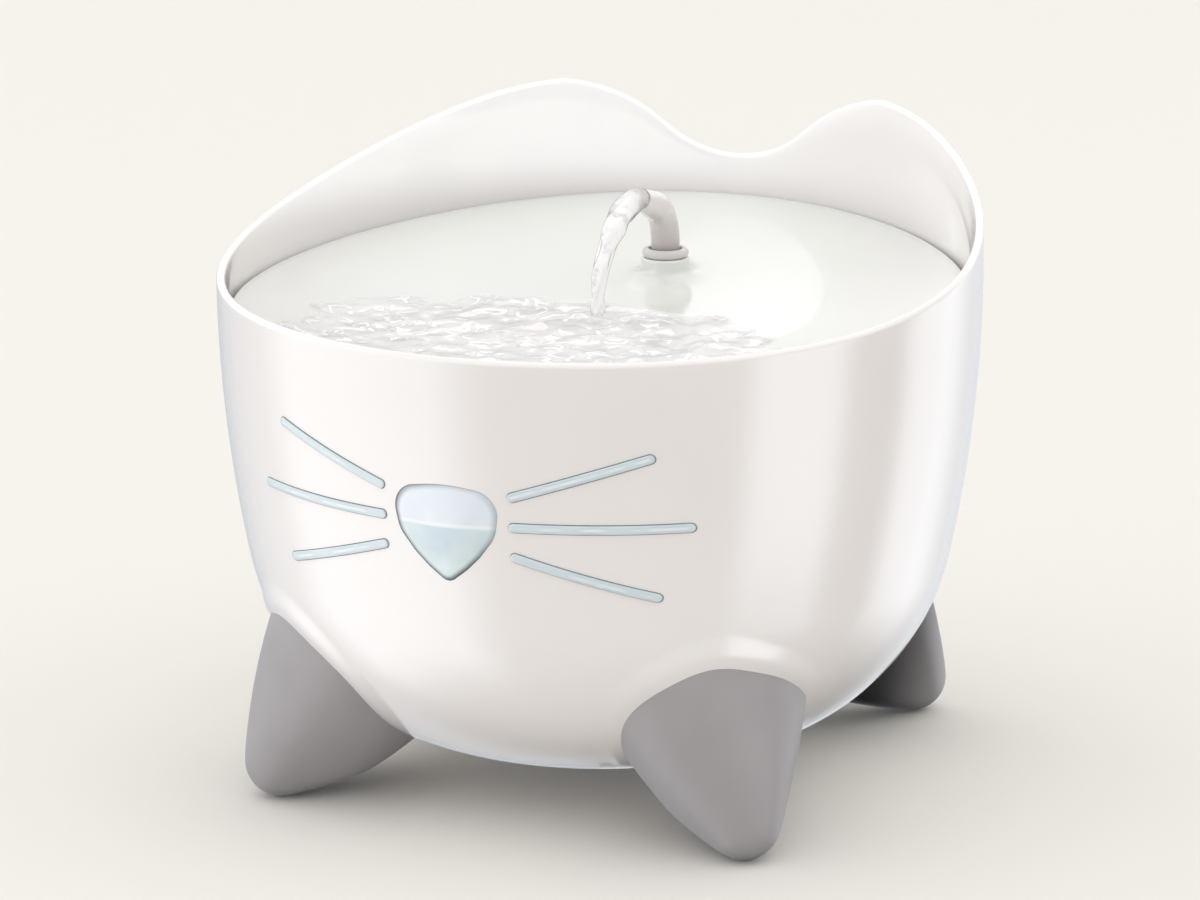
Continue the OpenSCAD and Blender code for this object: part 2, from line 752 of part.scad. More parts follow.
module pump_body() {
    reach = spout_y - pump_y;
    gland_r = 4.5;
    gland_z = pump_z + pump_h / 3;
    bore = pipe_r - pipe_t;
    color([0.22, 0.23, 0.25]) on_pump() difference() {
        union() {
            translate([0, 0, pump_z]) cylinder(r = pump_r, h = pump_h);
            translate([0, 0, outlet_z]) rotate([-90, 0, 0]) cylinder(r = pipe_r, h = reach);
            translate([0, reach, outlet_z - spout_r])
                cylinder(r = spout_r, h = riser_base + nipple_l - outlet_z + spout_r);
            translate([0, reach, riser_base - shoulder_t]) cylinder(r = riser_r, h = shoulder_t);
            translate([0, 0, gland_z]) rotate([90, 0, 0]) cylinder(r = gland_r, h = pump_r + 5);
        }
        translate([0, 0, chamber_z]) cylinder(r = chamber_r, h = BIG);
        translate([0, 0, well_z]) cylinder(r = well_r, h = pump_h);
        translate([0, 0, well_z - bush_h]) cylinder(r = bush_r + SNUG, h = pump_h);
        translate([0, 0, outlet_z]) rotate([-90, 0, 0]) cylinder(r = bore, h = reach);
        translate([0, reach, outlet_z - pipe_r]) cylinder(r = spout_r - pipe_t, h = BIG);
        translate([0, -pump_r - 6, gland_z]) rotate([-90, 0, 0]) cylinder(r = grommet_bore_r, h = 9);
        for (i = [0:3]) rotate([0, 0, 45 + 90 * i]) translate([cup_ring, 0, pump_z - EPS])
            cylinder(r = cup_peg_r, h = cup_peg_l + 0.4);
    }
}

module suction_cups() {
    neck_r = cup_peg_r + 1;
    lip = 0.8;
    color([0.85, 0.86, 0.86]) on_pump() for (i = [0:3]) rotate([0, 0, 45 + 90 * i])
        translate([cup_ring, 0, floor_z]) rotate_extrude() difference() {
            union() {
                polygon([[0, 0], [cup_r, 0], [cup_r, lip], [neck_r, cup_h - 1.2],
                    [neck_r, cup_h], [0, cup_h]]);
                translate([0, cup_h - EPS]) square([cup_peg_r - SNUG, cup_peg_l]);
            }
            polygon([[0, -1], [cup_r - lip, -1], [cup_r - lip, 0], [0, cup_h * 0.4]]);
        }
}

module shaft_bushes() {
    color([0.15, 0.15, 0.16]) on_pump() for (z = [well_z - bush_h, cover_top + hub_h - bush_h])
        translate([0, 0, z]) difference() {
            cylinder(r = bush_r, h = bush_h);
            translate([0, 0, -1]) cylinder(r = shaft_r + SNUG, h = bush_h + 2);
        }
}

module impeller_shaft() {
    color([0.93, 0.93, 0.92]) on_pump() translate([0, 0, well_z - bush_h])
        cylinder(r = shaft_r, h = cover_top + hub_h - well_z + bush_h);
}

module rotor_magnet() {
    color([0.18, 0.18, 0.19]) on_pump() translate([0, 0, magnet_z]) difference() {
        cylinder(r = magnet_r, h = magnet_l);
        translate([0, 0, -1]) cylinder(r = shaft_r + 1.5 + SNUG, h = magnet_l + 2);
    }
}

module impeller() {
    tube_r = shaft_r + 1.5;
    blade_t = 1.4;
    neck_z = magnet_z + magnet_l;
    color([0.9, 0.9, 0.88]) on_pump() difference() {
        union() {
            translate([0, 0, magnet_z]) cylinder(r = tube_r, h = blade_z - magnet_z);
            translate([0, 0, neck_z]) cylinder(r = magnet_r - 1.4, h = blade_z - neck_z + EPS);
            translate([0, 0, blade_z]) cylinder(r = tube_r + 0.8, h = blade_h);
            for (i = [0:blade_count - 1]) rotate([0, 0, i * 360 / blade_count])
                translate([0, -blade_t / 2, blade_z]) cube([blade_r, blade_t, blade_h]);
        }
        translate([0, 0, magnet_z - 1]) cylinder(r = shaft_r + run_gap, h = BIG / 4);
    }
}

// Lid of the impeller chamber, with a hub on three spokes over the eye
module chamber_cover() {
    color([0.3, 0.31, 0.33]) on_pump() difference() {
        union() {
            difference() {
                translate([0, 0, pump_top]) cylinder(r = pump_r - cap_t - 0.4, h = cover_t);
                translate([0, 0, pump_top - 1]) cylinder(r = eye_r, h = cover_t + 2);
            }
            translate([0, 0, pump_top]) cylinder(r = bush_r + 1.4, h = cover_t + hub_h);
            for (i = [0:2]) rotate([0, 0, 120 * i]) translate([0, -1, pump_top])
                cube([eye_r + 1, 2, cover_t]);
        }
        translate([0, 0, cover_top + hub_h - bush_h]) cylinder(r = bush_r + SNUG, h = bush_h + 1);
        translate([0, 0, pump_top - 1]) cylinder(r = shaft_r + 0.4, h = BIG / 4);
    }
}

// Intake cap that stands on the rim of the pump's body
module pump_cap() {
    ceiling = cap_top - cap_t;
    color([0.26, 0.27, 0.29]) on_pump() difference() {
        translate([0, 0, pump_top]) cylinder(r = pump_r, h = cap_top - pump_top);
        translate([0, 0, pump_top - 1]) cylinder(r = pump_r - cap_t, h = ceiling - pump_top + 1);
        for (i = [0:slot_count - 1]) rotate([0, 0, i * 360 / slot_count])
            translate([pump_r - cap_t - 1, -slot_w / 2, cap_z + 1.5]) cube([cap_t + 2, slot_w, cap_h - 6]);
        dial_windows(ceiling - 1);
        translate([0, 0, ceiling - 1]) cylinder(r = dial_pin_r + run_gap, h = 10);
    }
}

// Three sector openings that the dial covers or clears
module dial_windows(z) {
    for (i = [0:2]) rotate([0, 0, 120 * i]) translate([0, 0, z]) linear_extrude(10) intersection() {
        difference() {
            circle(r = dial_r - 2);
            circle(r = 2.4 * dial_pin_r);
        }
        polygon([[0, 0], [2 * dial_r, -dial_r], [2 * dial_r, dial_r]]);
    }
}

module flow_dial() {
    plate_t = 1.6;
    grip_h = 2.6;
    snap_t = 1.3;
    ceiling = cap_top - cap_t;
    color([0.75, 0.76, 0.77]) on_pump() {
        difference() {
            translate([0, 0, cap_top]) cylinder(r = dial_r, h = plate_t);
            dial_windows(cap_top - 1);
        }
        translate([1 - dial_r, -0.8, cap_top + plate_t - EPS]) cube([2 * dial_r - 2, 1.6, grip_h]);
        translate([0, 0, ceiling - 0.5]) cylinder(r = dial_pin_r, h = cap_t + 1);
        translate([0, 0, ceiling - 0.3 - snap_t]) cylinder(r = dial_pin_r + 0.8, h = snap_t);
    }
}

// Ring of sponge inside the cap, around the eye of the chamber
module cap_sponge() {
    color([0.3, 0.32, 0.36]) on_pump() translate([0, 0, cover_top]) difference() {
        cylinder(r = pump_r - cap_t - SNUG, h = cap_top - cap_t - cover_top);
        translate([0, 0, -1]) cylinder(r = eye_r + 3, h = cap_h + 2);
    }
}

reservoir_bowl();
nose_window();
whisker_left_top();
whisker_left_middle();
whisker_left_low();
whisker_right_top();
whisker_right_middle();
whisker_right_low();
foot_front_left();
foot_front_right();
foot_rear_left();
foot_rear_right();
foot_screws();
cord_grommet();
drinking_tray();
spout_collar();
spout();
riser_tube();
filter_basket();
filter_carbon();
filter_foam();
pump_body();
suction_cups();
shaft_bushes();
impeller_shaft();
rotor_magnet();
impeller();
chamber_cover();
pump_cap();
cap_sponge();
flow_dial();
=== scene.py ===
import math

import bmesh
import bpy
import numpy as np
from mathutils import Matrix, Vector
from mathutils.geometry import convex_hull_2d


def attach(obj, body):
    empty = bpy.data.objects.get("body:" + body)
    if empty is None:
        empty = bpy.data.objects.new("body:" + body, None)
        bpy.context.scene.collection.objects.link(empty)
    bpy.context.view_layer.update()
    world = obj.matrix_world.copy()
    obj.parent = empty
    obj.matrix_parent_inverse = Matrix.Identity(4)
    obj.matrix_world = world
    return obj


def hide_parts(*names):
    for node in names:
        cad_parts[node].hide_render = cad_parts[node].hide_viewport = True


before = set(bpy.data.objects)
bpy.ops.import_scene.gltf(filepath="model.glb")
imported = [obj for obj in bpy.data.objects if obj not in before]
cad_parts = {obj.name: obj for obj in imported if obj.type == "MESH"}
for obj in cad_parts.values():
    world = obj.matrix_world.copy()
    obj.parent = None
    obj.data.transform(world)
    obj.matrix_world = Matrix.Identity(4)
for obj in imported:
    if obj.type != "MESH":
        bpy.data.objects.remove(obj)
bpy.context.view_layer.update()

# Lengths are in millimetres up to the moment a piece is made; Z is height above the ground
# and the face looks along -Y.
MM = 0.001

# Bowl shell
BOWL_R = 127.5
BOWL_LIFT = 13.5
WIDE_Z = 170.0
SIDE_CURVE = 467.0
CORNER_CURVE = 79.0
WALL = 3.0
FLOOR_T = 4.0
EAR_THINNING = 0.9
FOOT_ZONE = 24.0
CORD_HOLE_R = 3.8
CORD_Z = 139.0
CORNER_Z = BOWL_LIFT + CORNER_CURVE
ARC_GAP = SIDE_CURVE - CORNER_CURVE
SIDE_X = BOWL_R - SIDE_CURVE
CORNER_X = SIDE_X + math.sqrt(ARC_GAP ** 2 - (WIDE_Z - CORNER_Z) ** 2)

# Rim, from the front round to the ears
RIM_FRONT = 167.7
EAR_X = 68.0
EAR_Y = 115.0
EAR_Z = 215.0
DIP_Z = 189.0
DIP_CURVE = 40.0
EAR_DROP = EAR_Z - DIP_Z
THIN_TOP = EAR_Z + 4
ARCS_SUM = (EAR_X ** 2 + EAR_DROP ** 2) / (2 * EAR_DROP)
EAR_CURVE = ARCS_SUM - DIP_CURVE
RIM_LINE = ((-BOWL_R, RIM_FRONT), (50.0, RIM_FRONT + 2.3), (EAR_Y - 30, EAR_Z - 1.3), (EAR_Y, EAR_Z))

# Heights between which the shell turns to the ears' paler tone and glow, painted light for light through the
# thin wall
WALL_PALE_Z = 170.0
EAR_PALE_Z = 188.0

# Face windows
FACE_Z = 114.3
NOSE_W = 35.0
NOSE_H = 32.0
NOSE_TOP = FACE_Z + 12.4
WHISKER_W = 3.4
WHISKER_IN = 22.5
WHISKER_OUT = {1: 63.0, 0: 73.0, -1: 63.0}
FAN_IN = 10.0
FAN_OUT = 23.0
WINDOW_PROUD = 0.6
WINDOW_GAP = 0.12
FLANGE_W = 1.5
FLANGE_T = 1.6
WATER_LINE = 113.0
WHISKER_ROWS = {"top": 1, "middle": 0, "low": -1}
SIDES = {"left": -1, "right": 1}
CUT_NEAR = -BOWL_R - 10
CUT_FAR = -60.0
FACE_ZONE_LOW = 85.0
FACE_ZONE_TOP = 145.0
FACE_ZONE_BACK = -70.0

# Feet: angle from the front, and the balls that give each its form, as distance out from the
# bowl's axis, distance aside towards the back, height and radius
FEET = {"front": 48.0, "rear": 139.0}
FOOT_FORMS = {
    "front": {
        "tip": (113.4, -2.5, 12.2, 12.0),
        "cheek": (103.5, 0.0, 37.0, 17.0),
        "crown": (96.0, 4.0, 62.0, 15.5),
        "corner": (95.5, 12.0, 57.0, 12.5),
        "brow": (93.5, -11.0, 60.5, 22.5),
        "inner shoulder": (83.5, -16.0, 59.5, 28.0),
        "outer shoulder": (96.0, 17.5, 47.5, 10.0),
        "inner heel": (70.0, -15.5, 31.5, 8.5),
        "outer heel": (80.5, 17.5, 19.5, 12.0),
        "inner sole": (91.0, -8.5, 19.5, 12.5),
        "outer sole": (93.0, 7.0, 16.0, 8.5)},
    "rear": {
        "tip": (124.0, 2.0, 12.0, 12.0),
        "cheek": (112.0, 0.0, 37.0, 16.0),
        "crown": (107.0, 0.0, 55.0, 12.5),
        "inner shoulder": (103.0, -19.5, 51.0, 12.5),
        "outer shoulder": (103.0, 19.5, 51.0, 12.5),
        "inner heel": (80.5, -14.0, 24.5, 7.0),
        "outer heel": (80.5, 17.0, 24.5, 7.0),
        "inner sole": (92.5, -3.0, 19.5, 10.0),
        "outer sole": (92.5, 8.0, 19.5, 10.0)}}
SKIN_SOFTNESS = 1.1
LIP_BAND = 6.5
LIP_FLANK = 5.5
LIP_RISE = 1.5
LIP_LOW_SHARE = 0.15
LIP_LOW_Z = 45.0
LIP_FULL_Z = 72.0
LIP_REACH = 75.0

# Screws of the feet and the bosses that take them
SCREW_X = BOWL_R - 35.3
SCREW_HEAD_R = 3.4
SCREW_GAP = 0.4
SCREW_L = 28.0
BOSS_CAP = 4.0
SCREW_BOSS_R = 4.5
SCREW_BOSS_TOP = CORNER_Z - math.sqrt(CORNER_CURVE ** 2 - (SCREW_X - CORNER_X) ** 2) + 14.5
SCREW_SEAT = SCREW_BOSS_TOP - BOSS_CAP - SCREW_L
BOSS_FOOT = 30.0
BOSS_CHAMFER = 0.6

# Tray and the gussets that carry it
SEAT_COUNT = 7
SEAT_W = 4.0
SEAT_H = 14.0
SEAT_REACH = 3.5
TRAY_R = 123.38
TRAY_SEAT = 148.0
DISH_Z = 150.0
DISH_Y = -27.0
DISH_CURVE_Y = 460.0
DISH_CURVE_X = 680.0
TRAY_T = 2.4
DRAIN_R = TRAY_R - 27.4
DRAIN_L = 12.0
DRAIN_W = 3.2
DRAIN_STEP = 11.0
TRAY_EDGE = 1.1

# Spout, its boss and its collar
# Heights at which the spout's painted shade turns to painted light
SPOUT_DIM_Z = 168.0
SPOUT_PALE_Z = 185.0
SPOUT_Y = 58.0
SPOUT_R = 5.0
SPOUT_WALL = 1.3
BEND_R = 16.0
BEND_A = math.radians(70)
NOZZLE_L = 13.0
MOUTH_R = 3.6
SPOUT_FOOT = 127.0
COLLAR_R = 8.1
COLLAR_T = 3.2
SLEEVE_L = 9.0
SLEEVE_R = 6.27
BOSS_R = 8.5
BOSS_H = 6.3
BOSS_FLARE = 11.0

# Water: level of the pool, and the film that the ripples spread over the dish around it
POOL_Z = 153.7
POOL_X = -8.0
POOL_Y = -36.0
POOL_HALF_X = 85.0
POOL_HALF_Y = 62.0
FILM = 0.35
JET_FOOT = (0.0, -3.6)

# Creases in degrees: of crisp pieces, and of ones that are smooth all over
CREASE = 35.0
SMOOTH = 80.0

# Studio: the floor's heights and reach in metres, its tones, and the strength of the light from
# each part of the surround
FLOOR_Z = -0.00005
FAR_FLOOR_Z = -0.0002
FAR_FLOOR = 90.0
FLOOR_TONE = (0.81, 0.79, 0.755, 1.0)
FLOOR_TONE_B = (0.813, 0.793, 0.758, 1.0)
WARM_LIGHT = (1.0, 0.995, 0.985, 1.0)
COOL_LIGHT = (0.96, 0.985, 1.0, 1.0)
MIRROR_LIGHT = (0.94, 0.99, 1.06, 1.0)
LIGHT_ALL = 0.86
LIGHT_TOP = 0.35
LIGHT_LOW_LEFT = 1.1
LIGHT_LOW_RIGHT = -0.2
LIGHT_HIGH_LEFT = 0.1
LIGHT_HIGH_RIGHT = 0.5
LIGHT_BEHIND = 0.45
MIRROR_LEFT = 1.5
MIRROR_FAR_LEFT = 0.6
MIRROR_BOX = 1.6
MIRROR_BACK = 1.45
MIRROR_FAR_BACK = 0.8

# Camera
VIEW_AZIMUTH = math.radians(22.9)
VIEW_ELEVATION = math.radians(14.14)
VIEW_DISTANCE = 1.5
VIEW_HEIGHT = 0.10873
LENS = 133.6


# ---------------------------------------------------------------- shader expressions

def operator(operation, swapped=False):
    """A method that joins a wire and a number or another wire by a Math node."""
    def apply(self, other):
        return self.maths(operation, *((other, self) if swapped else (self, other)))
    return apply


class Wire:
    """A shader value that takes part in sums and products with numbers and other wires."""
    __add__ = operator("ADD")
    __radd__ = operator("ADD", True)
    __sub__ = operator("SUBTRACT")
    __rsub__ = operator("SUBTRACT", True)
    __mul__ = operator("MULTIPLY")
    __rmul__ = operator("MULTIPLY", True)
    __truediv__ = operator("DIVIDE")
    __pow__ = operator("POWER")

    def __init__(self, finish, socket):
        self.finish = finish
        self.socket = socket

    def maths(self, operation, *values):
        return self.finish.node("ShaderNodeMath", {"operation": operation}, *values)

    def size(self):
        """The value without its sign."""
        return self.maths("ABSOLUTE", self)

    def angle_from(self, other):
        """Angle in degrees of the direction with this value aside and the other ahead."""
        return self.maths("ARCTAN2", self, other) * (180 / math.pi)

    def inside(self, low, high, blur):
        """1 from low to high, and 0 outside, with blurred ends."""
        return self.between(low - blur, low + blur) * (1 - self.between(high - blur, high + blur))

    def between(self, low, high):
        """0 below low, 1 above high, and a smooth step from one to the other."""
        settings = {"interpolation_type": "SMOOTHSTEP"}
        return self.finish.node("ShaderNodeMapRange", settings, self, low, high)


class Shading:
    """The nodes of a material or of the surround while it is being made."""

    def __init__(self, owner):
        owner.use_nodes = True
        self.tree = owner.node_tree

    def put(self, socket, value):
        if isinstance(value, Wire):
            self.tree.links.new(value.socket, socket)
        else:
            socket.default_value = value

    def node(self, kind, settings, *values, out=0, **named):
        """A node of a kind: its settings first, then its sockets in order or by name."""
        made = self.tree.nodes.new(kind)
        for setting, value in settings.items():
            setattr(made, setting, value)
        for socket, value in zip(made.inputs, values):
            self.put(socket, value)
        for socket, value in named.items():
            self.put(made.inputs[socket.replace("_", " ")], value)
        return Wire(self, made.outputs[out])

    def place(self, kind="Object"):
        return self.node("ShaderNodeTexCoord", {}, out=kind)

    def axes(self, kind="Object"):
        """The place on the piece as three wires, in metres."""
        place = self.place(kind)
        return [self.node("ShaderNodeSeparateXYZ", {}, place, out=i) for i in range(3)]

    def noise(self, scale, detail=3.0, roughness=0.5, out="Fac"):
        return self.node("ShaderNodeTexNoise", {}, Vector=self.place(), Scale=scale, Detail=detail,
                         Roughness=roughness, out=out)

    def facing(self, blend):
        """How far the surface turns away from the eye."""
        return self.node("ShaderNodeLayerWeight", {}, Blend=blend, out="Facing")

    def cells(self, scale, out="Distance"):
        return self.node("ShaderNodeTexVoronoi", {}, Vector=self.place(), Scale=scale, out=out)

    def blend(self, share, first, second):
        """From the first colour to the second as share goes from 0 to 1."""
        made = self.tree.nodes.new("ShaderNodeMix")
        made.data_type = "RGBA"
        for index, value in ((0, share), (6, first), (7, second)):
            self.put(made.inputs[index], value)
        return Wire(self, made.outputs[2])

    def relief(self, height, distance, strength):
        return self.node("ShaderNodeBump", {}, Height=height, Distance=distance, Strength=strength)

    def carried(self, name):
        """A value that the mesh carries at its points."""
        return self.node("ShaderNodeAttribute", {"attribute_name": name}, out="Fac")


class Finish(Shading):
    """A material being made, with the sockets of its main shader."""

    def __init__(self, name):
        self.material = bpy.data.materials.new(name)
        super().__init__(self.material)
        self.shader = self.tree.nodes["Principled BSDF"]

    def set(self, **sockets):
        for socket, value in sockets.items():
            self.put(self.shader.inputs[socket.replace("_", " ")], value)
        return self.material


def rgb(red, green, blue):
    """A colour given as it looks on a screen, 0 to 255."""
    return tuple(pow(c / 255, 2.2) for c in (red, green, blue)) + (1.0,)


def moulded(name, pale, deep, rough, gloss=0.0):
    """Injection moulded plastic: a slow drift of tone and a very fine texture."""
    finish = Finish(name)
    drift = finish.noise(14.0, 2.0)
    fine = finish.noise(1500.0, 2.0)
    worn = finish.noise(60.0, 4.0)
    return finish.set(
        Base_Color=finish.blend(drift.between(0.3, 0.7), pale, deep),
        Roughness=rough + 0.05 * worn,
        Coat_Weight=gloss,
        Coat_Roughness=0.06,
        Normal=finish.relief(fine, 0.00002, 0.4))


def shell_plastic(name, pale, deep, lit_ear_tone, painted_glow):
    """Glossy moulding, with painted light in the thin ears for light coming through: a paler tone and glow,
    most on the left.
    """
    finish = Finish(name)
    x, y, z = finish.axes()
    drift = finish.noise(9.0, 2.0)
    fine = finish.noise(900.0, 2.0)
    waviness = finish.noise(22.0, 1.0)
    height = z / MM
    share = 0.3 * drift.between(0.3, 0.7) + 0.7 * height.between(70.0, 160.0)
    base = finish.blend(share, pale, deep)
    # Painted light: the thin ears turn paler and glow, for light coming through them, more on the left
    painted_ear_light = height.between(WALL_PALE_Z, EAR_PALE_Z)
    right = x.between(-0.05, 0.07)
    lit = painted_ear_light * (1 - 0.9 * right)
    return finish.set(
        Base_Color=finish.blend(painted_ear_light * (1 - 0.8 * right), base, lit_ear_tone),
        Emission_Color=finish.blend(lit, (0.0, 0.0, 0.0, 1.0), (painted_glow, painted_glow, painted_glow, 1.0)),
        Emission_Strength=1.0,
        Roughness=0.2 + 0.04 * drift,
        Specular_IOR_Level=0.7,
        Coat_Weight=0.9,
        Coat_IOR=1.6,
        Coat_Roughness=0.05,
        Normal=finish.relief(fine * 0.15 + waviness, 0.00005, 0.5))


def foot_plastic():
    finish = Finish("satin grey foot")
    x, y, z = finish.axes()
    drift = finish.noise(30.0, 2.0)
    fine = finish.noise(1300.0, 3.0)
    base = finish.blend(drift.between(0.25, 0.75), rgb(162, 158, 160), rgb(155, 151, 153))
    # Painted shade where the feet meet the floor, over the lowest 6 mm
    painted_ground_shade = 1 - z.between(0.0, 0.006)
    base = finish.blend(painted_ground_shade * 0.35, base, rgb(110, 108, 108))
    # Painted shade on the inner side of the rear feet, under the bowl
    from_axis = (x * x + y * y) ** 0.5
    painted_underside_shade = y.between(0.02, 0.05) * (1 - from_axis.between(0.097, 0.138))
    return finish.set(
        Base_Color=finish.blend(painted_underside_shade * 0.95, base, rgb(36, 38, 40)),
        Roughness=0.4 + 0.08 * fine,
        Specular_IOR_Level=0.45,
        Normal=finish.relief(fine, 0.00005, 0.5))


def window_plastic(water):
    """Clear tinted plastic with a thin painted shadow along its edge, and the water's level behind it."""
    finish = Finish("pale blue window" if water else "pale blue whisker")
    x, y, z = finish.axes()
    rim = finish.carried("rim")
    clouds = finish.noise(70.0, 2.0)
    height = z / MM
    above = finish.blend(clouds.between(0.3, 0.7), rgb(238, 242, 249), rgb(226, 234, 243))
    below = finish.blend(clouds.between(0.35, 0.65), rgb(201, 216, 227), rgb(215, 229, 232))
    body = finish.blend(height.between(WATER_LINE - 0.4, WATER_LINE + 0.4), below, above)
    if water:
        line = 1 - (height - WATER_LINE - 0.9).size().between(0.2, 0.8)
        chin = 1 - height.between(NOSE_TOP - NOSE_H + 4, NOSE_TOP - NOSE_H + 8)
        body = finish.blend(line * 0.8, body, rgb(244, 247, 251))
        body = finish.blend(chin * 0.6, body, rgb(226, 238, 238))
        # Painted shadow along the nose's edge: faint on its upper right, heaviest at its lower left
        lit_side = (x / MM + (height - FACE_Z)).between(-12.0, 16.0)
        edge = rim.between(0.86, 1.0) * (0.95 - 0.6 * lit_side)
    else:
        body = finish.blend(clouds.between(0.35, 0.75), rgb(212, 223, 229), rgb(197, 211, 218))
        # Painted sheen along the middle of each whisker, in patches
        middle = (1 - rim.between(0.1, 0.5)) * clouds.between(0.4, 0.6)
        body = finish.blend(middle, body, rgb(232, 238, 242))
        # Painted shadow all along the whisker's edge
        edge = rim.between(0.8, 1.0) * 0.7
    return finish.set(
        Base_Color=finish.blend(edge, body, rgb(104, 118, 122)),
        Roughness=0.08 + 0.1 * clouds,
        Coat_Weight=0.6,
        Coat_Roughness=0.03)


def spout_plastic():
    """Translucent tube with painted shade where it stands in the collar and painted light up to the nozzle.
    """
    finish = Finish("translucent warm grey spout")
    x, y, z = finish.axes()
    drift = finish.noise(120.0, 3.0)
    facing = finish.facing(0.35)
    # Painted light and shade: grey low on the tube, pale from the bend to the nozzle
    rise = (z / MM).between(SPOUT_DIM_Z, SPOUT_PALE_Z)
    core = finish.blend(rise, rgb(204, 195, 193), rgb(249, 244, 241))
    core = finish.blend(drift.between(0.35, 0.65) * 0.3, core, rgb(216, 209, 206))
    # Painted shade where the tube stands in the collar
    foot = 1 - (z / MM).between(SPOUT_DIM_Z - 4, SPOUT_DIM_Z + 3)
    core = finish.blend(foot * 0.7, core, rgb(112, 104, 102))
    return finish.set(
        Base_Color=finish.blend(facing * 0.45, core, rgb(168, 158, 154)),
        Roughness=0.14 + 0.06 * drift,
        Coat_Weight=0.6,
        Coat_Roughness=0.04,
        Alpha=0.88 + 0.12 * facing)


def clear_tube():
    finish = Finish("clear riser tube")
    drift = finish.noise(80.0, 3.0)
    facing = finish.facing(0.3)
    return finish.set(
        Base_Color=finish.blend(drift, rgb(218, 226, 228), rgb(204, 214, 218)),
        Roughness=0.12 + 0.05 * drift,
        Alpha=0.45 + 0.5 * facing)


def open_foam(name, light, dark, scale):
    finish = Finish(name)
    pores = finish.cells(scale)
    small = finish.noise(scale * 1.7, 3.0)
    # Painted shade deep in the pores; the same mask gives their relief
    depth = (pores * small).between(0.02, 0.3)
    return finish.set(
        Base_Color=finish.blend(depth, dark, light),
        Roughness=0.85 + 0.1 * small,
        Normal=finish.relief(depth, 0.0006, 0.9))


def carbon_felt():
    finish = Finish("granular carbon in felt")
    grains = finish.cells(420.0)
    tone = finish.cells(420.0, out="Color")
    fibre = finish.noise(900.0, 4.0, 0.7)
    base = finish.blend(tone * 0.35, rgb(38, 39, 41), rgb(78, 80, 83))
    return finish.set(
        Base_Color=finish.blend(fibre.between(0.6, 0.8), base, rgb(104, 106, 108)),
        Roughness=0.7 + 0.2 * fibre,
        Normal=finish.relief(grains, 0.0005, 0.8))


def soft_rubber(name, pale, deep, rough):
    finish = Finish(name)
    bloom = finish.noise(180.0, 4.0)
    fine = finish.noise(2200.0, 2.0)
    return finish.set(
        Base_Color=finish.blend(bloom.between(0.35, 0.7), deep, pale),
        Roughness=rough + 0.15 * bloom,
        Normal=finish.relief(fine, 0.00004, 0.5))


def turned_steel(name):
    """Metal with fine rings from the lathe."""
    finish = Finish(name)
    rings = finish.node("ShaderNodeTexWave", {"wave_type": "BANDS", "bands_direction": "Z"},
                        Vector=finish.place(), Scale=2500.0, Distortion=0.4)
    smear = finish.noise(220.0, 3.0)
    return finish.set(
        Base_Color=finish.blend(smear, rgb(205, 206, 208), rgb(176, 178, 181)),
        Metallic=1.0,
        Roughness=0.22 + 0.12 * smear,
        Normal=finish.relief(rings, 0.00002, 0.3))


def sintered_ferrite():
    finish = Finish("bare sintered ferrite")
    grit = finish.noise(1400.0, 4.0, 0.7)
    stain = finish.noise(70.0, 3.0)
    return finish.set(
        Base_Color=finish.blend(stain, rgb(52, 52, 55), rgb(74, 73, 76)),
        Metallic=0.25,
        Roughness=0.55 + 0.2 * grit,
        Normal=finish.relief(grit, 0.00008, 0.6))


def moving_water():
    finish = Finish("falling water")
    facing = finish.facing(0.45)
    streaks = finish.noise(260.0, 3.0, 0.6)
    # Painted dark reflection along the stream's sides, where it turns from the eye; it also makes them more
    # opaque
    edge = facing.between(0.4, 0.85)
    x, y, z = finish.axes()
    body = finish.blend(streaks.between(0.5, 0.7), rgb(255, 254, 254), rgb(228, 222, 224))
    return finish.set(
        Base_Color=finish.blend(edge * 0.9, body, rgb(108, 98, 96)),
        Roughness=0.03 + 0.03 * streaks,
        IOR=1.33,
        Coat_Weight=0.3,
        Coat_Roughness=0.02,
        Alpha=(0.82 + 0.18 * edge) * (z / MM).between(POOL_Z, POOL_Z + 4))


def pool_water():
    """Shallow rippled water: white, with painted shade in the faces of the ripples that turn away, and
    painted caustic lines and glints.
    """
    finish = Finish("rippled water")
    lean = finish.carried("lean")
    shore = finish.carried("shore")
    warp = finish.noise(70.0, 2.0, out="Color")
    pull = finish.node("ShaderNodeVectorMath", {"operation": "SCALE"}, warp, Scale=0.016)
    bent = finish.node("ShaderNodeVectorMath", {"operation": "ADD"}, finish.place(), pull)
    to_edge = {"feature": "DISTANCE_TO_EDGE"}
    cell_edge = finish.node("ShaderNodeTexVoronoi", to_edge, Vector=bent, Scale=75.0)
    broken = finish.noise(95.0, 2.0).between(0.42, 0.56)
    # Painted light: thin grey lines like the caustics of ripples, broken up, with painted glints beside them
    painted_caustic_lines = (1 - cell_edge.between(0.0, 0.1)) * broken
    glints = cell_edge.inside(0.1, 0.2, 0.03) * broken
    # Painted shade in the faces of the ripples, from their slope along the view
    painted_ripple_shade = lean.between(0.12, 0.24)
    tone = finish.blend(painted_ripple_shade * 0.35, rgb(253, 251, 252), rgb(226, 217, 220))
    tone = finish.blend(painted_caustic_lines * 0.5, tone, rgb(205, 195, 199))
    return finish.set(
        Base_Color=finish.blend(glints, tone, rgb(255, 255, 255)),
        Roughness=0.04 + 0.02 * painted_ripple_shade,
        IOR=1.33,
        Alpha=(0.6 + 0.35 * (painted_ripple_shade + painted_caustic_lines + glints).between(0.0, 1.0)) * (1 - shore))


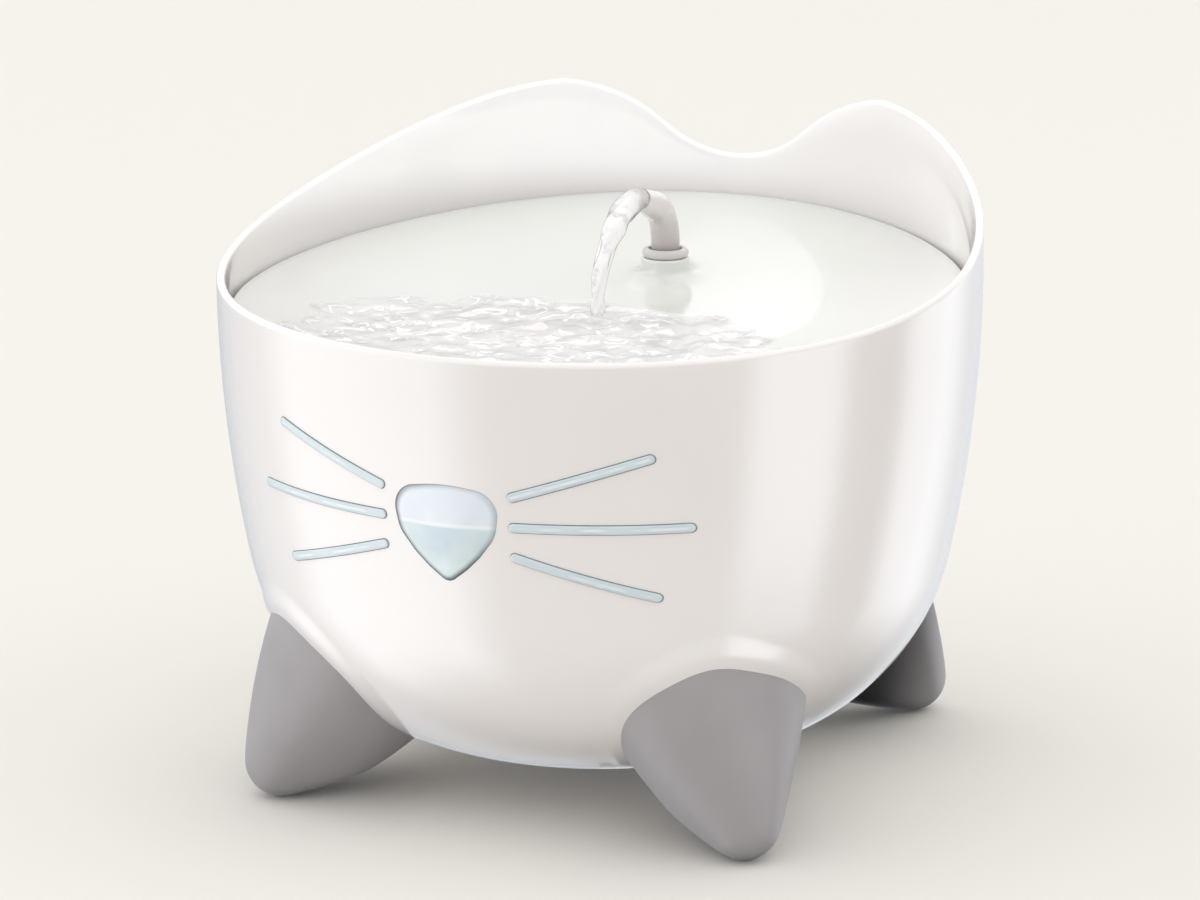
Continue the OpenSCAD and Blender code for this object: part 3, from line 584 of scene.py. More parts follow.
def studio_floor():
    finish = Finish("pale studio floor")
    haze = finish.noise(1.5, 2.0)
    return finish.set(
        Base_Color=finish.blend(haze, FLOOR_TONE, FLOOR_TONE_B),
        Roughness=0.85,
        Specular_IOR_Level=0.0)


# ---------------------------------------------------------------- mesh building

def closed_rows(rows):
    """Points and faces of a skin given as rings; a first or last ring of one repeated point closes it."""
    rings = np.asarray(rows, float)
    count = rings.shape[1]
    row, column = np.meshgrid(np.arange(len(rings) - 1), np.arange(count), indexing="ij")
    beside = (column + 1) % count
    here = row * count
    quads = np.stack((here + column, here + beside, here + count + beside, here + count + column), -1)
    return rings.reshape(-1, 3), quads.reshape(-1, 4).tolist()


def slab(near, far):
    """Skin of a solid between two outlines with as many points each."""
    count = len(near)
    points, faces = closed_rows((near, far))
    return points, faces + [list(range(count)), list(range(count, 2 * count))]


def full_turn(count):
    """Angles evenly spread over a circle."""
    return np.linspace(0, 2 * math.pi, count, endpoint=False)


def outward(turn):
    """Directions away from the bowl's axis and across, at an angle from the front."""
    out = np.array((math.sin(turn), -math.cos(turn)))
    return out, np.array((-out[1], out[0]))


def make_mesh(name, points, faces, crease=CREASE):
    """A smooth piece with crisp creases, from points in millimetres."""
    mesh = bpy.data.meshes.new(name)
    mesh.from_pydata([tuple(p) for p in np.asarray(points, float) * MM], [], faces)
    work = bmesh.new()
    work.from_mesh(mesh)
    bmesh.ops.remove_doubles(work, verts=work.verts, dist=1e-6)
    bmesh.ops.dissolve_degenerate(work, edges=work.edges, dist=1e-6)
    bmesh.ops.recalc_face_normals(work, faces=work.faces)
    work.to_mesh(mesh)
    work.free()
    soften(mesh, crease)
    piece = bpy.data.objects.new(name, mesh)
    bpy.context.scene.collection.objects.link(piece)
    return piece


def soften(mesh, crease):
    mesh.polygons.foreach_set("use_smooth", np.ones(len(mesh.polygons), bool))
    mesh.set_sharp_from_angle(angle=math.radians(crease))


def joined(*skins):
    """Several skins, each (points, faces), as one."""
    points = []
    faces = []
    start = 0
    for skin_points, skin_faces in skins:
        points.append(np.asarray(skin_points, float))
        faces += [[i + start for i in face] for face in skin_faces]
        start += len(skin_points)
    return np.concatenate(points), faces


def turned(profile, centre=(0.0, 0.0), count=96):
    """A profile of (radius, height) points turned about an upright axis."""
    angle = full_turn(count)
    rows = []
    for radius, height in profile:
        ring = np.stack((centre[0] + radius * np.cos(angle), centre[1] + radius * np.sin(angle),
                         np.full(count, height)), -1)
        rows.append(ring)
    return closed_rows(rows)


def arc(centre, radius, start, end, count):
    """Points of an arc in a plane, angles in degrees."""
    angle = np.radians(np.linspace(start, end, count))
    return [(centre[0] + radius * math.cos(a), centre[1] + radius * math.sin(a)) for a in angle]


def settle(piece, crease):
    """Turns what a piece's modifiers make into its mesh."""
    bpy.context.view_layer.update()
    seen = piece.evaluated_get(bpy.context.evaluated_depsgraph_get())
    piece.data = bpy.data.meshes.new_from_object(seen)
    piece.modifiers.clear()
    soften(piece.data, crease)


def cut_out(piece, cutters, crease=CREASE):
    """Takes the cutters' solids out of a piece, and removes the cutters."""
    for cutter in cutters:
        change = piece.modifiers.new("cut", "BOOLEAN")
        change.operation = "DIFFERENCE"
        change.solver = "EXACT"
        change.object = cutter
    settle(piece, crease)
    for cutter in cutters:
        bpy.data.objects.remove(cutter)


def keep_curve(piece, within, normal_at):
    """Gives faces cut from a curved skin the skin's true normals, where within says so."""
    mesh = piece.data
    wanted = []
    for face in mesh.polygons:
        apply = within(face.center)
        for index in face.loop_indices:
            normal = (0.0, 0.0, 0.0)
            if apply:
                true = normal_at(mesh.vertices[mesh.loops[index].vertex_index].co)
                if true.dot(face.normal) > 0.9:
                    normal = true
            wanted.append(normal)
    mesh.normals_split_custom_set(wanted)


def finish_piece(piece, material, body, slot, *nodes):
    piece.data.materials.clear()
    piece.data.materials.append(material)
    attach(piece, body)
    if nodes:
        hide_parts(*nodes)


def prism(name, outline, near, far):
    """A solid that drives an outline in the XZ plane along Y."""
    ends = [[(x, y, z) for x, z in outline] for y in (near, far)]
    return make_mesh(name, *slab(*ends))


def rod(name, radius, start, end, up):
    """A round cutter whose ends lie in the plane of X and the direction up."""
    turn = full_turn(64)
    ring = radius * (np.outer(np.cos(turn), (1.0, 0.0, 0.0)) + np.outer(np.sin(turn), up))
    return make_mesh(name, *slab(ring + start, ring + end))


# ---------------------------------------------------------------- bowl

def join_z(inset=0.0):
    """Height at which the curve of the side meets the curve of the corner."""
    return WIDE_Z - (SIDE_CURVE - inset) * (WIDE_Z - CORNER_Z) / ARC_GAP


def wall_r(z, inset=0.0):
    """Radius of the shell's skin at a height; inset goes inwards from the outside."""
    z = np.asarray(z, float)
    low = CORNER_X + np.sqrt(np.maximum((CORNER_CURVE - inset) ** 2 - (z - CORNER_Z) ** 2, 0))
    side = SIDE_X + np.sqrt((SIDE_CURVE - inset) ** 2 - np.minimum(z - WIDE_Z, 0) ** 2)
    lean = np.maximum(z - WIDE_Z, 0) / (THIN_TOP - WIDE_Z) * EAR_THINNING
    return np.where(z < join_z(inset), low, side - (lean if inset == 0 else 0))


def rim_heights(angles):
    """Height of the rim at each angle from the front."""
    t = np.linspace(0, 1, 400)
    weights = ((1 - t) ** 3, 3 * t * (1 - t) ** 2, 3 * t * t * (1 - t), t ** 3)
    along = sum(w * p[0] for w, p in zip(weights, RIM_LINE))
    up = sum(w * p[1] for w, p in zip(weights, RIM_LINE))
    height = np.full(len(angles), RIM_FRONT)
    join_x = EAR_X * DIP_CURVE / ARCS_SUM
    for _ in range(12):
        radius = wall_r(height)
        x = np.abs(radius * np.sin(angles))
        y = -radius * np.cos(angles)
        line = np.interp(y, along, up)
        dip = DIP_Z + DIP_CURVE - np.sqrt(np.maximum(DIP_CURVE ** 2 - x ** 2, 0))
        crest = EAR_Z - EAR_CURVE + np.sqrt(np.maximum(EAR_CURVE ** 2 - (x - EAR_X) ** 2, 0))
        ears = np.where(x < join_x, dip, np.where(x < EAR_X, crest, EAR_Z + 20))
        height = np.where(y > 0, np.minimum(line, ears), line)
    return height


def bowl_angles():
    """Angles from the front, close together over the feet."""
    fine = 0.6
    coarse = 1.8
    angles = []
    angle = -180.0
    while angle < 180.0 - fine / 2:
        angles.append(angle)
        near = any(abs(abs(angle) - foot) < FOOT_ZONE for foot in FEET.values())
        angle += fine if near else coarse
    return np.radians(angles)


def foot_balls(end, side):
    """The balls that give a foot its form: their centres in space, and their radii."""
    out, across = outward(math.radians(side * FEET[end]))
    balls = np.array(list(FOOT_FORMS[end].values()))
    level = balls[:, :1] * out + balls[:, 1:2] * side * across
    return np.hstack((level, balls[:, 2:3])), balls[:, 3]


def directions(rows, count):
    """Directions spread over a ball, in rings from straight down to straight up."""
    tilt = np.radians(np.linspace(-90, 90, rows))[:, None]
    turn = full_turn(count)
    level = np.cos(tilt)
    return np.stack((level * np.cos(turn), level * np.sin(turn), np.repeat(np.sin(tilt), count, 1)), -1)


def skin_over(balls, ways):
    """How far a soft skin over balls reaches each way, and the point of it that does."""
    centres, radii = balls
    reach = ways @ centres.T + radii
    top = reach.max(-1, keepdims=True)
    weight = np.exp(SKIN_SOFTNESS * (reach - top))
    total = weight.sum(-1, keepdims=True)
    far = top[..., 0] + np.log(total[..., 0]) / SKIN_SOFTNESS
    middle = (weight / total) @ centres
    beyond = far - (middle * ways).sum(-1)
    return far, middle + ways * beyond[..., None]


def eased(values, low, high):
    """0 below low, 1 above high, and a smooth step from one to the other."""
    share = np.clip((values - low) / (high - low), 0, 1)
    return share * share * (3 - 2 * share)


def lip_growth(points):
    """How far the skin swells outwards into a lip around each foot."""
    swell = np.zeros(len(points))
    ways = directions(31, 60).reshape(-1, 3)
    for end in FEET:
        for side in SIDES.values():
            balls = foot_balls(end, side)
            far = skin_over(balls, ways)[0]
            near = np.flatnonzero(np.linalg.norm(points - balls[0].mean(0), axis=1) < LIP_REACH)
            for part in np.array_split(near, len(near) // 2000 + 1):
                gap = (points[part] @ ways.T - far).max(1)
                lip = 1 - eased(gap, LIP_BAND - LIP_FLANK, LIP_BAND)
                lip = lip * eased(gap, -LIP_BAND, -LIP_BAND / 2)
                full = eased(points[part, 2], LIP_LOW_Z, LIP_FULL_Z)
                rise = LIP_RISE * (LIP_LOW_SHARE + (1 - LIP_LOW_SHARE) * full)
                swell[part] = np.maximum(swell[part], rise * lip)
    return swell


def bowl_rings(rim, count):
    """Radii and heights of the shell's rings, up the outside and down the inside, and how many are
    outside."""
    fixed_top = 150.0
    lip = WALL / 2
    radii = []
    heights = []

    def ring(radius, height):
        radii.append(np.zeros(count) + radius)
        heights.append(np.zeros(count) + height)

    def corner(curve, start, end, steps):
        for a in np.radians(np.linspace(start, end, steps)[1:]):
            ring(CORNER_X + curve * math.cos(a), CORNER_Z + curve * math.sin(a))

    def side(inset, start, end, steps):
        for z in np.linspace(start, end, steps)[1:]:
            ring(wall_r(z, inset), z)

    def rise(inset, start, end, steps):
        for share in np.linspace(start, end, steps)[1:]:
            z = fixed_top + (rim - lip - fixed_top) * share
            ring(wall_r(z, inset), z)

    for radius in (0.0, 20.0, CORNER_X):
        ring(radius, BOWL_LIFT)
    corner(CORNER_CURVE, -90, math.degrees(math.asin((join_z() - CORNER_Z) / CORNER_CURVE)), 150)
    side(0, join_z(), fixed_top, 26)
    rise(0, 0, 1, 12)
    outside = len(radii)
    outer = wall_r(rim - lip)
    inner = wall_r(rim - lip, WALL)
    for a in np.radians(np.linspace(0, 180, 11)[1:]):
        ring((outer + inner) / 2 + (outer - inner) / 2 * math.cos(a), rim - lip + lip * math.sin(a))
    rise(WALL, 1, 0, 10)
    side(WALL, fixed_top, join_z(WALL), 12)
    floor_z = BOWL_LIFT + FLOOR_T
    turn_in = CORNER_CURVE - WALL
    low = math.degrees(math.asin((floor_z - CORNER_Z) / turn_in))
    high = math.degrees(math.asin((join_z(WALL) - CORNER_Z) / turn_in))
    corner(turn_in, high, low, 24)
    for radius in (30.0, 0.0):
        ring(radius, floor_z)
    return np.array(radii), np.array(heights), outside


def bowl_shell(material):
    angles = bowl_angles()
    count = len(angles)
    radii, heights, outside = bowl_rings(rim_heights(angles), count)
    rows = np.stack((radii * np.sin(angles), -radii * np.cos(angles), heights), -1)
    skin = rows[:outside].reshape(-1, 3)
    skin += outward_normals(skin) * lip_growth(skin)[:, None]
    rows[:outside] = skin.reshape(outside, count, 3)
    piece = make_mesh("bowl_shell", *closed_rows(rows))
    cutters = [prism("nose_cut", nose_outline(0.0), CUT_NEAR, CUT_FAR)]
    for side in SIDES.values():
        for row in (-1, 0, 1):
            cutters.append(prism("whisker_cut", whisker_outline(side, row, 0.0), CUT_NEAR, CUT_FAR))
    cutters.append(rod("cord_cut", CORD_HOLE_R, (0, 100, CORD_Z), (0, 140, CORD_Z), (0.0, 0.0, 1.0)))
    cut_out(piece, cutters)
    keep_curve(piece, in_face_zone, skin_normal)
    finish_piece(piece, material, "bowl", "bowl_plastic", "reservoir_bowl")


def outward_normals(points):
    """Normals of the plain shell, before its lips, at points on its outside."""
    radius = np.hypot(points[:, 0], points[:, 1])
    low = points[:, 2] < join_z()
    flat = radius < CORNER_X + 0.01
    along = np.where(flat, 0.0, np.where(low, radius - CORNER_X, radius - SIDE_X))
    rise = np.where(low, points[:, 2] - CORNER_Z, np.minimum(points[:, 2] - WIDE_Z, 0))
    up = np.where(flat, -1.0, rise)
    length = np.hypot(along, up)
    safe = np.maximum(radius, 1e-6)
    return np.stack((points[:, 0] / safe * along / length, points[:, 1] / safe * along / length,
                     up / length), -1)


def skin_normal(place):
    """Normal of the side wall at a place in metres."""
    radius = math.hypot(place.x, place.y)
    up = min(place.z / MM - WIDE_Z, 0.0) / SIDE_CURVE
    return Vector((place.x / radius, place.y / radius, up)).normalized()


def in_face_zone(place):
    """Whether a place in metres lies in the part of the wall that holds the windows."""
    return FACE_ZONE_LOW < place.z / MM < FACE_ZONE_TOP and place.y / MM < FACE_ZONE_BACK


# ---------------------------------------------------------------- face windows

def nose_outline(grow, shrink=1.0, count=96):
    """Rounded triangle with full cheeks, evenly stepped."""
    half = NOSE_W / 2
    circles = []
    for side in (-1, 1):
        circles.append((side * (half - 8.0), NOSE_TOP - 8.9, 8.0))
        for share, radius in ((0.0, 10.0), (0.33, 8.5), (0.66, 6.2)):
            circles.append((side * (half - 10.6) * (1 - share), NOSE_TOP - 12.1 - 16.7 * share, radius))
    circles.append((0.0, NOSE_TOP - NOSE_H + 3.2, 3.2))
    cloud = []
    for x, z, radius in circles:
        for a in full_turn(200):
            cloud.append((x + (radius + grow) * math.cos(a), z + (radius + grow) * math.sin(a)))
    crown = 60.0
    for x in np.linspace(-6, 6, 25):
        cloud.append((x, NOSE_TOP - crown + math.sqrt((crown + grow) ** 2 - x * x)))
    hull = [cloud[i] for i in convex_hull_2d([Vector(p) for p in cloud])]
    loop = np.array(hull + hull[:1])
    steps = np.hypot(*np.diff(loop, axis=0).T)
    reach = np.concatenate(([0], np.cumsum(steps)))
    even = np.linspace(0, reach[-1], count, endpoint=False)
    outline = np.stack((np.interp(even, reach, loop[:, 0]), np.interp(even, reach, loop[:, 1])), -1)
    middle = np.array((0.0, NOSE_TOP - 0.46 * NOSE_H))
    return middle + (outline - middle) * shrink


def whisker_outline(side, row, grow, shrink=1.0, count=24):
    """Bar with round ends, fanning out from the nose."""
    inner = np.array((side * WHISKER_IN, FACE_Z + row * FAN_IN))
    outer = np.array((side * WHISKER_OUT[row], FACE_Z + row * FAN_OUT))
    along = (outer - inner) / np.linalg.norm(outer - inner)
    across = np.array((-along[1], along[0]))
    half = (WHISKER_W / 2 + grow) * shrink
    points = []
    for start, end, edge, turn in ((inner, outer, -1, -90), (outer, inner, 1, 90)):
        for share in np.linspace(0, 1, 30):
            points.append(start + (end - start) * share + edge * across * half)
        for a in np.radians(np.linspace(turn, turn + 180, count)[1:-1]):
            points.append(end + half * (along * math.cos(a) + across * math.sin(a)))
    return np.array(points)


def on_wall(outline, inset, proud):
    """An outline in the XZ plane laid on the front wall, as points in space."""
    radius = wall_r(outline[:, 1], inset) + proud
    return np.stack((outline[:, 0], -np.sqrt(radius ** 2 - outline[:, 0] ** 2), outline[:, 1]), -1)


def window(name, outline, bulge, material, node):
    """A clear window: a softly domed front, a step through the wall and a flange behind it."""
    fronts = ((0.0, 1.0), (0.25, 1.0), (0.5, 0.97), (0.7, 0.92), (0.84, 0.84), (0.92, 0.7), (0.965, 0.45))
    behind = WALL + FLANGE_T
    # growth of the outline, its share of the full size, depth into the wall, rise from it, rim
    steps = [(-WINDOW_GAP, share, 0, WINDOW_PROUD * dome + bulge * (1 - share ** 2), share)
             for share, dome in fronts]
    steps += [(-WINDOW_GAP, 0.99, 0, 0.05, 1.0), (-WINDOW_GAP, 1.0, 0, -0.15, 1.0)]
    steps += [(-WINDOW_GAP, 1.0, WALL, 0.0, 1.0), (FLANGE_W, 1.0, WALL, -0.05, 1.0)]
    steps += [(FLANGE_W, share, behind, 0.0, 1.0) for share in (1.0, 0.5, 0.0)]
    rows = [on_wall(outline(grow, share), inset, proud) for grow, share, inset, proud, _ in steps]
    points, faces = closed_rows(rows)
    piece = make_mesh(name, points, faces, 50.0)
    carry_value(piece, "rim", points, np.repeat([step[-1] for step in steps], len(rows[0])))
    finish_piece(piece, material, "bowl", "window_plastic", node)


def carry_value(piece, name, points, values):
    """Stores a value at each point of the piece, found by place among the points given."""
    known = {tuple(np.round(p, 3)): v for p, v in zip(np.asarray(points, float), values)}
    found = [known.get(tuple(np.round(np.array(v.co) / MM, 3)), 0.0) for v in piece.data.vertices]
    attribute = piece.data.attributes.new(name, "FLOAT", "POINT")
    attribute.data.foreach_set("value", np.array(found, np.float32))


def face_windows():
    window("nose_pane", nose_outline, 0.9, window_plastic(True), "nose_window")
    whisker_finish = window_plastic(False)
    for side_name, side in SIDES.items():
        for row_name, row in WHISKER_ROWS.items():
            def outline(grow, shrink, side=side, row=row):
                return whisker_outline(side, row, grow, shrink)
            node = "whisker_" + side_name + "_" + row_name
            window(node + "_pane", outline, 0.1, whisker_finish, node)


# ---------------------------------------------------------------- feet

def feet(material):
    ways = directions(90, 128)
    for end in FEET:
        for side_name, side in SIDES.items():
            form = skin_over(foot_balls(end, side), ways)[1]
            form[..., 2] = np.maximum(form[..., 2], 0.0)
            name = "foot_" + end + "_" + side_name
            piece = make_mesh(name + "_form", *closed_rows(form), 60.0)
            x, y = screw_place(end, side)
            low = (x, y, -1.0)
            hole = rod("screw_cut", SCREW_HEAD_R + SCREW_GAP, low, (x, y, SCREW_SEAT), (0.0, 1.0, 0.0))
            cut_out(piece, [plain_bowl(), hole], 60.0)
            finish_piece(piece, material, "bowl", "foot_plastic", name)


def screw_place(end, side):
    return SCREW_X * outward(math.radians(side * FEET[end]))[0]


def bowl_fittings(material):
    """Gussets that carry the tray, and bosses that take the screws of the feet."""
    skins = []
    reach = TRAY_R - SEAT_REACH - TRAY_T
    low = TRAY_SEAT - SEAT_H
    wall_top = float(wall_r(TRAY_SEAT, WALL)) + 1
    outline = ((reach, TRAY_SEAT), (wall_top, TRAY_SEAT), (wall_top, low - 4),
               (float(wall_r(low, WALL)), low), (reach, TRAY_SEAT - 3))
    for i in range(SEAT_COUNT):
        out, across = outward(2 * math.pi * i / SEAT_COUNT)
        half = across * SEAT_W / 2
        skins.append(slab(*([(*(out * r + half * end), z) for r, z in outline] for end in (-1, 1))))
    profile = [(0.0, BOSS_FOOT), (SCREW_BOSS_R, BOSS_FOOT), (SCREW_BOSS_R, SCREW_BOSS_TOP - BOSS_CHAMFER),
               (SCREW_BOSS_R - BOSS_CHAMFER, SCREW_BOSS_TOP), (0.0, SCREW_BOSS_TOP)]
    for end in FEET:
        for side in SIDES.values():
            skins.append(turned(profile, screw_place(end, side), 48))
    piece = make_mesh("bowl_fittings", *joined(*skins))
    finish_piece(piece, material, "bowl", "bowl_plastic")


def plain_bowl():
    """The bowl's whole outside as a solid, a hair inside the shell's skin."""
    depth = 0.4
    profile = [(0.0, BOWL_LIFT + depth), (CORNER_X, BOWL_LIFT + depth)]
    profile += arc((CORNER_X, CORNER_Z), CORNER_CURVE - depth, -88, -12, 60)
    profile += [(float(wall_r(z)) - depth, z) for z in (90.0, 110.0, 130.0)]
    profile.append((0.0, 130.0))
    return make_mesh("bowl_cut", *turned(profile, count=240))


# ---------------------------------------------------------------- tray

def dish_height(x, y):
    """Height of the drinking surface."""
    ring = DISH_CURVE_X - DISH_CURVE_Y
    out = ring + np.sqrt(DISH_CURVE_Y ** 2 - (y - DISH_Y) ** 2)
    return DISH_Z + DISH_CURVE_X - np.sqrt(out ** 2 - x ** 2)


def tray_dish():
    angles = np.radians(np.arange(0, 360, 1.5))
    rows = []

    def ring(radius, height=lambda dish: dish, inwards=0.0):
        """A ring whose height depends on the dish's, read a little further inwards."""
        place = radius - inwards
        dish = dish_height(place * np.sin(angles), -place * np.cos(angles))
        rows.append(np.stack((radius * np.sin(angles), -radius * np.cos(angles), height(dish)), -1))

    for radius in np.linspace(0, TRAY_R - TRAY_EDGE, 56):
        ring(radius)
    for a in np.radians(np.linspace(90, 0, 7)[1:]):
        out = TRAY_EDGE * math.cos(a)
        up = TRAY_EDGE * math.sin(a)
        ring(TRAY_R - TRAY_EDGE + out, lambda dish, up=up: dish - TRAY_EDGE + up, out)
    for radius, lift in ((TRAY_R, 0.4), (TRAY_R - 0.4, 0.0), (TRAY_R - TRAY_T, 0.0)):
        ring(radius, lambda dish, lift=lift: 0 * dish + TRAY_SEAT + lift)
    for radius in np.linspace(TRAY_R - TRAY_T - 0.2, 0, 24):
        ring(radius, lambda dish: np.maximum(dish - TRAY_T, TRAY_SEAT + 0.05))
    piece = make_mesh("tray_dish", *closed_rows(rows))
    bore = rod("spout_cut", BOSS_R - 1.2, (0, SPOUT_Y, 130), (0, SPOUT_Y, 190), (0.0, 1.0, 0.0))
    cut_out(piece, [bore] + [drain_cut(math.radians(i * DRAIN_STEP)) for i in range(-2, 3)])
    return piece


def drain_cut(turn):
    out, across = outward(turn)
    outline = []
    for end, first in ((1, -90), (-1, 90)):
        middle = out * (DRAIN_R + end * DRAIN_L / 2)
        for a in np.radians(np.linspace(first, first + 180, 13)):
            outline.append(middle + DRAIN_W / 2 * (out * math.cos(a) + across * math.sin(a)))
    ends = [[(x, y, z) for x, y in outline] for z in (TRAY_SEAT - 10, TRAY_SEAT + 30)]
    return make_mesh("drain_cut", *slab(*ends))


def boss_top():
    return float(dish_height(0.0, SPOUT_Y)) + BOSS_H


def spout_boss():
    """Boss around the spout, whose foot runs out into the dish."""
    angles = np.radians(np.arange(0, 360, 4))
    top = boss_top()
    rows = []

    def ring(radius, height):
        x = radius * np.cos(angles)
        y = SPOUT_Y + radius * np.sin(angles)
        dish = dish_height(x, y)
        rows.append(np.stack((x, y, height(dish)), -1))

    sunk = 0.04
    edge = 0.8
    for share in np.linspace(1, 0, 15):
        lift = (1 - math.sqrt(1 - (1 - share) ** 2)) * 0.92
        out = BOSS_FLARE * share ** 1.6
        ring(BOSS_R + out, lambda dish, lift=lift: dish - sunk + (top - 1.0 - dish) * lift)
    for a in np.radians(np.linspace(0, 90, 6)):
        height = top - edge + edge * math.sin(a)
        ring(BOSS_R - edge + edge * math.cos(a), lambda dish, height=height: 0 * dish + height)
    for radius, height in ((SLEEVE_R + 0.02, top), (SLEEVE_R + 0.02, TRAY_SEAT), (BOSS_R, TRAY_SEAT)):
        ring(radius, lambda dish, height=height: 0 * dish + height)
    ring(BOSS_R, lambda dish: dish - TRAY_T - 0.5)
    ring(BOSS_R + BOSS_FLARE - 2.0, lambda dish: dish - TRAY_T + 0.4)
    ring(BOSS_R + BOSS_FLARE, lambda dish: dish - sunk)
    return closed_rows(rows)


def block(low, high):
    """A plain bar between two corners, as a skin."""
    corners = [(x, y, z) for z in (low[2], high[2]) for x, y in
               ((low[0], low[1]), (high[0], low[1]), (high[0], high[1]), (low[0], high[1]))]
    faces = [[0, 1, 2, 3], [4, 5, 6, 7], [0, 1, 5, 4], [1, 2, 6, 5], [2, 3, 7, 6], [3, 0, 4, 7]]
    return np.array(corners, float), faces


def filter_rails():
    """Rails under the tray in which the basket slides, with a stop across the front."""
    rail = 1.8
    rail_x = 45.85
    front = -106.03
    back = front + 53.6
    low = 143.0
    high = 149.5
    ledge_w = 3.5
    skins = []
    for side in SIDES.values():
        web = sorted((side * rail_x, side * (rail_x + rail)))
        ledge = sorted((side * (rail_x - ledge_w), side * rail_x))
        skins.append(block((web[0], front, low), (web[1], back, high)))
        skins.append(block((ledge[0], front, low), (ledge[1], back, low + rail)))
    skins.append(block((-rail_x, front, low), (rail_x, front + rail, high)))
    return joined(*skins)


def rounded_edges(piece, width):
    """Rounds a piece's crisp edges with a small bevel."""
    change = piece.modifiers.new("edges", "BEVEL")
    change.width = width * MM
    change.segments = 2
    change.limit_method = "ANGLE"
    settle(piece, CREASE)


def drinking_tray(material):
    finish_piece(tray_dish(), material, "tray", "tray_plastic", "drinking_tray")
    boss = make_mesh("spout_boss", *spout_boss(), 40.0)
    finish_piece(boss, material, "tray", "tray_plastic")
    rails = make_mesh("filter_rails", *filter_rails())
    rounded_edges(rails, 0.3)
    finish_piece(rails, material, "tray", "tray_plastic")


# ---------------------------------------------------------------- spout and water

def spout_places(count):
    """Points of the spout's centre line with the direction at each, from foot to mouth."""
    bend_z = boss_top() + COLLAR_T + 1.6
    up = np.array((0.0, 0.0, 1.0))
    places = [(np.array((0.0, SPOUT_Y, z)), up) for z in (SPOUT_FOOT, 140.0, 155.0, bend_z)]
    for a in np.linspace(0, BEND_A, count)[1:]:
        point = np.array((0.0, SPOUT_Y - BEND_R + BEND_R * math.cos(a), bend_z + BEND_R * math.sin(a)))
        places.append((point, np.array((0.0, -math.sin(a), math.cos(a)))))
    end, way = places[-1]
    for share in np.linspace(0, 1, 8)[1:]:
        places.append((end + way * NOZZLE_L * share, way))
    return places


def ring_at(point, way, radius, count=64):
    """A circle of points about a direction that lies in the YZ plane."""
    across = np.array((1.0, 0.0, 0.0))
    up = np.cross(way, across)
    turn = full_turn(count)
    return point + radius * (np.outer(np.cos(turn), across) + np.outer(np.sin(turn), up))


def spout_tube(material):
    places = spout_places(22)
    last = len(places) - 1
    taper_from = last - 7

    def radius_at(index):
        share = max(0, index - taper_from) / 7
        return SPOUT_R + (MOUTH_R - SPOUT_R) * share

    rows = [ring_at(point, way, radius_at(i)) for i, (point, way) in enumerate(places)]
    mouth, way = places[-1]
    lip = SPOUT_WALL / 2
    for a in np.radians(np.linspace(90, -90, 7)):
        rows.append(ring_at(mouth + way * (lip * math.cos(a) - lip), way, MOUTH_R - lip + lip * math.sin(a)))
    for i in range(last, -1, -1):
        point, way = places[i]
        rows.append(ring_at(point, way, radius_at(i) - SPOUT_WALL))
    rows.append(rows[0])
    piece = make_mesh("spout_tube", *closed_rows(rows))
    finish_piece(piece, material, "spout", "spout_plastic", "spout")


def spout_collar(material):
    top = boss_top()
    bore = SPOUT_R + 0.05
    middle = COLLAR_R - COLLAR_T / 2
    profile = [(bore, top - SLEEVE_L + 0.3), (bore + 0.3, top - SLEEVE_L), (SLEEVE_R - 0.02, top - SLEEVE_L),
               (SLEEVE_R - 0.02, top), (middle, top)]
    profile += arc((middle, top + COLLAR_T / 2), COLLAR_T / 2, -90, 90, 15)
    profile += arc((bore + 1.2, top + COLLAR_T - 0.5), 0.5, 90, 180, 6)
    profile += [(bore + 0.7, top + COLLAR_T - 1.6), (bore, top + COLLAR_T - 1.6)]
    profile.append(profile[0])
    piece = make_mesh("collar_ring", *turned(profile, (0.0, SPOUT_Y)))
    finish_piece(piece, material, "tray", "collar_plastic", "spout_collar")


def curve_through(knots, count):
    """A smooth run of points through given knots, each any number of values."""
    knots = np.array(knots, float)
    padded = np.vstack((2 * knots[0] - knots[1], knots, 2 * knots[-1] - knots[-2]))
    result = []
    for share in np.linspace(0, len(knots) - 1, count):
        i = min(int(share), len(knots) - 2)
        t = share - i
        a, b, c, d = padded[i:i + 4]
        result.append(0.5 * (2 * b + (c - a) * t + (2 * a - 5 * b + 4 * c - d) * t * t
                             + (3 * b - a - 3 * c + d) * t ** 3))
    return np.array(result)


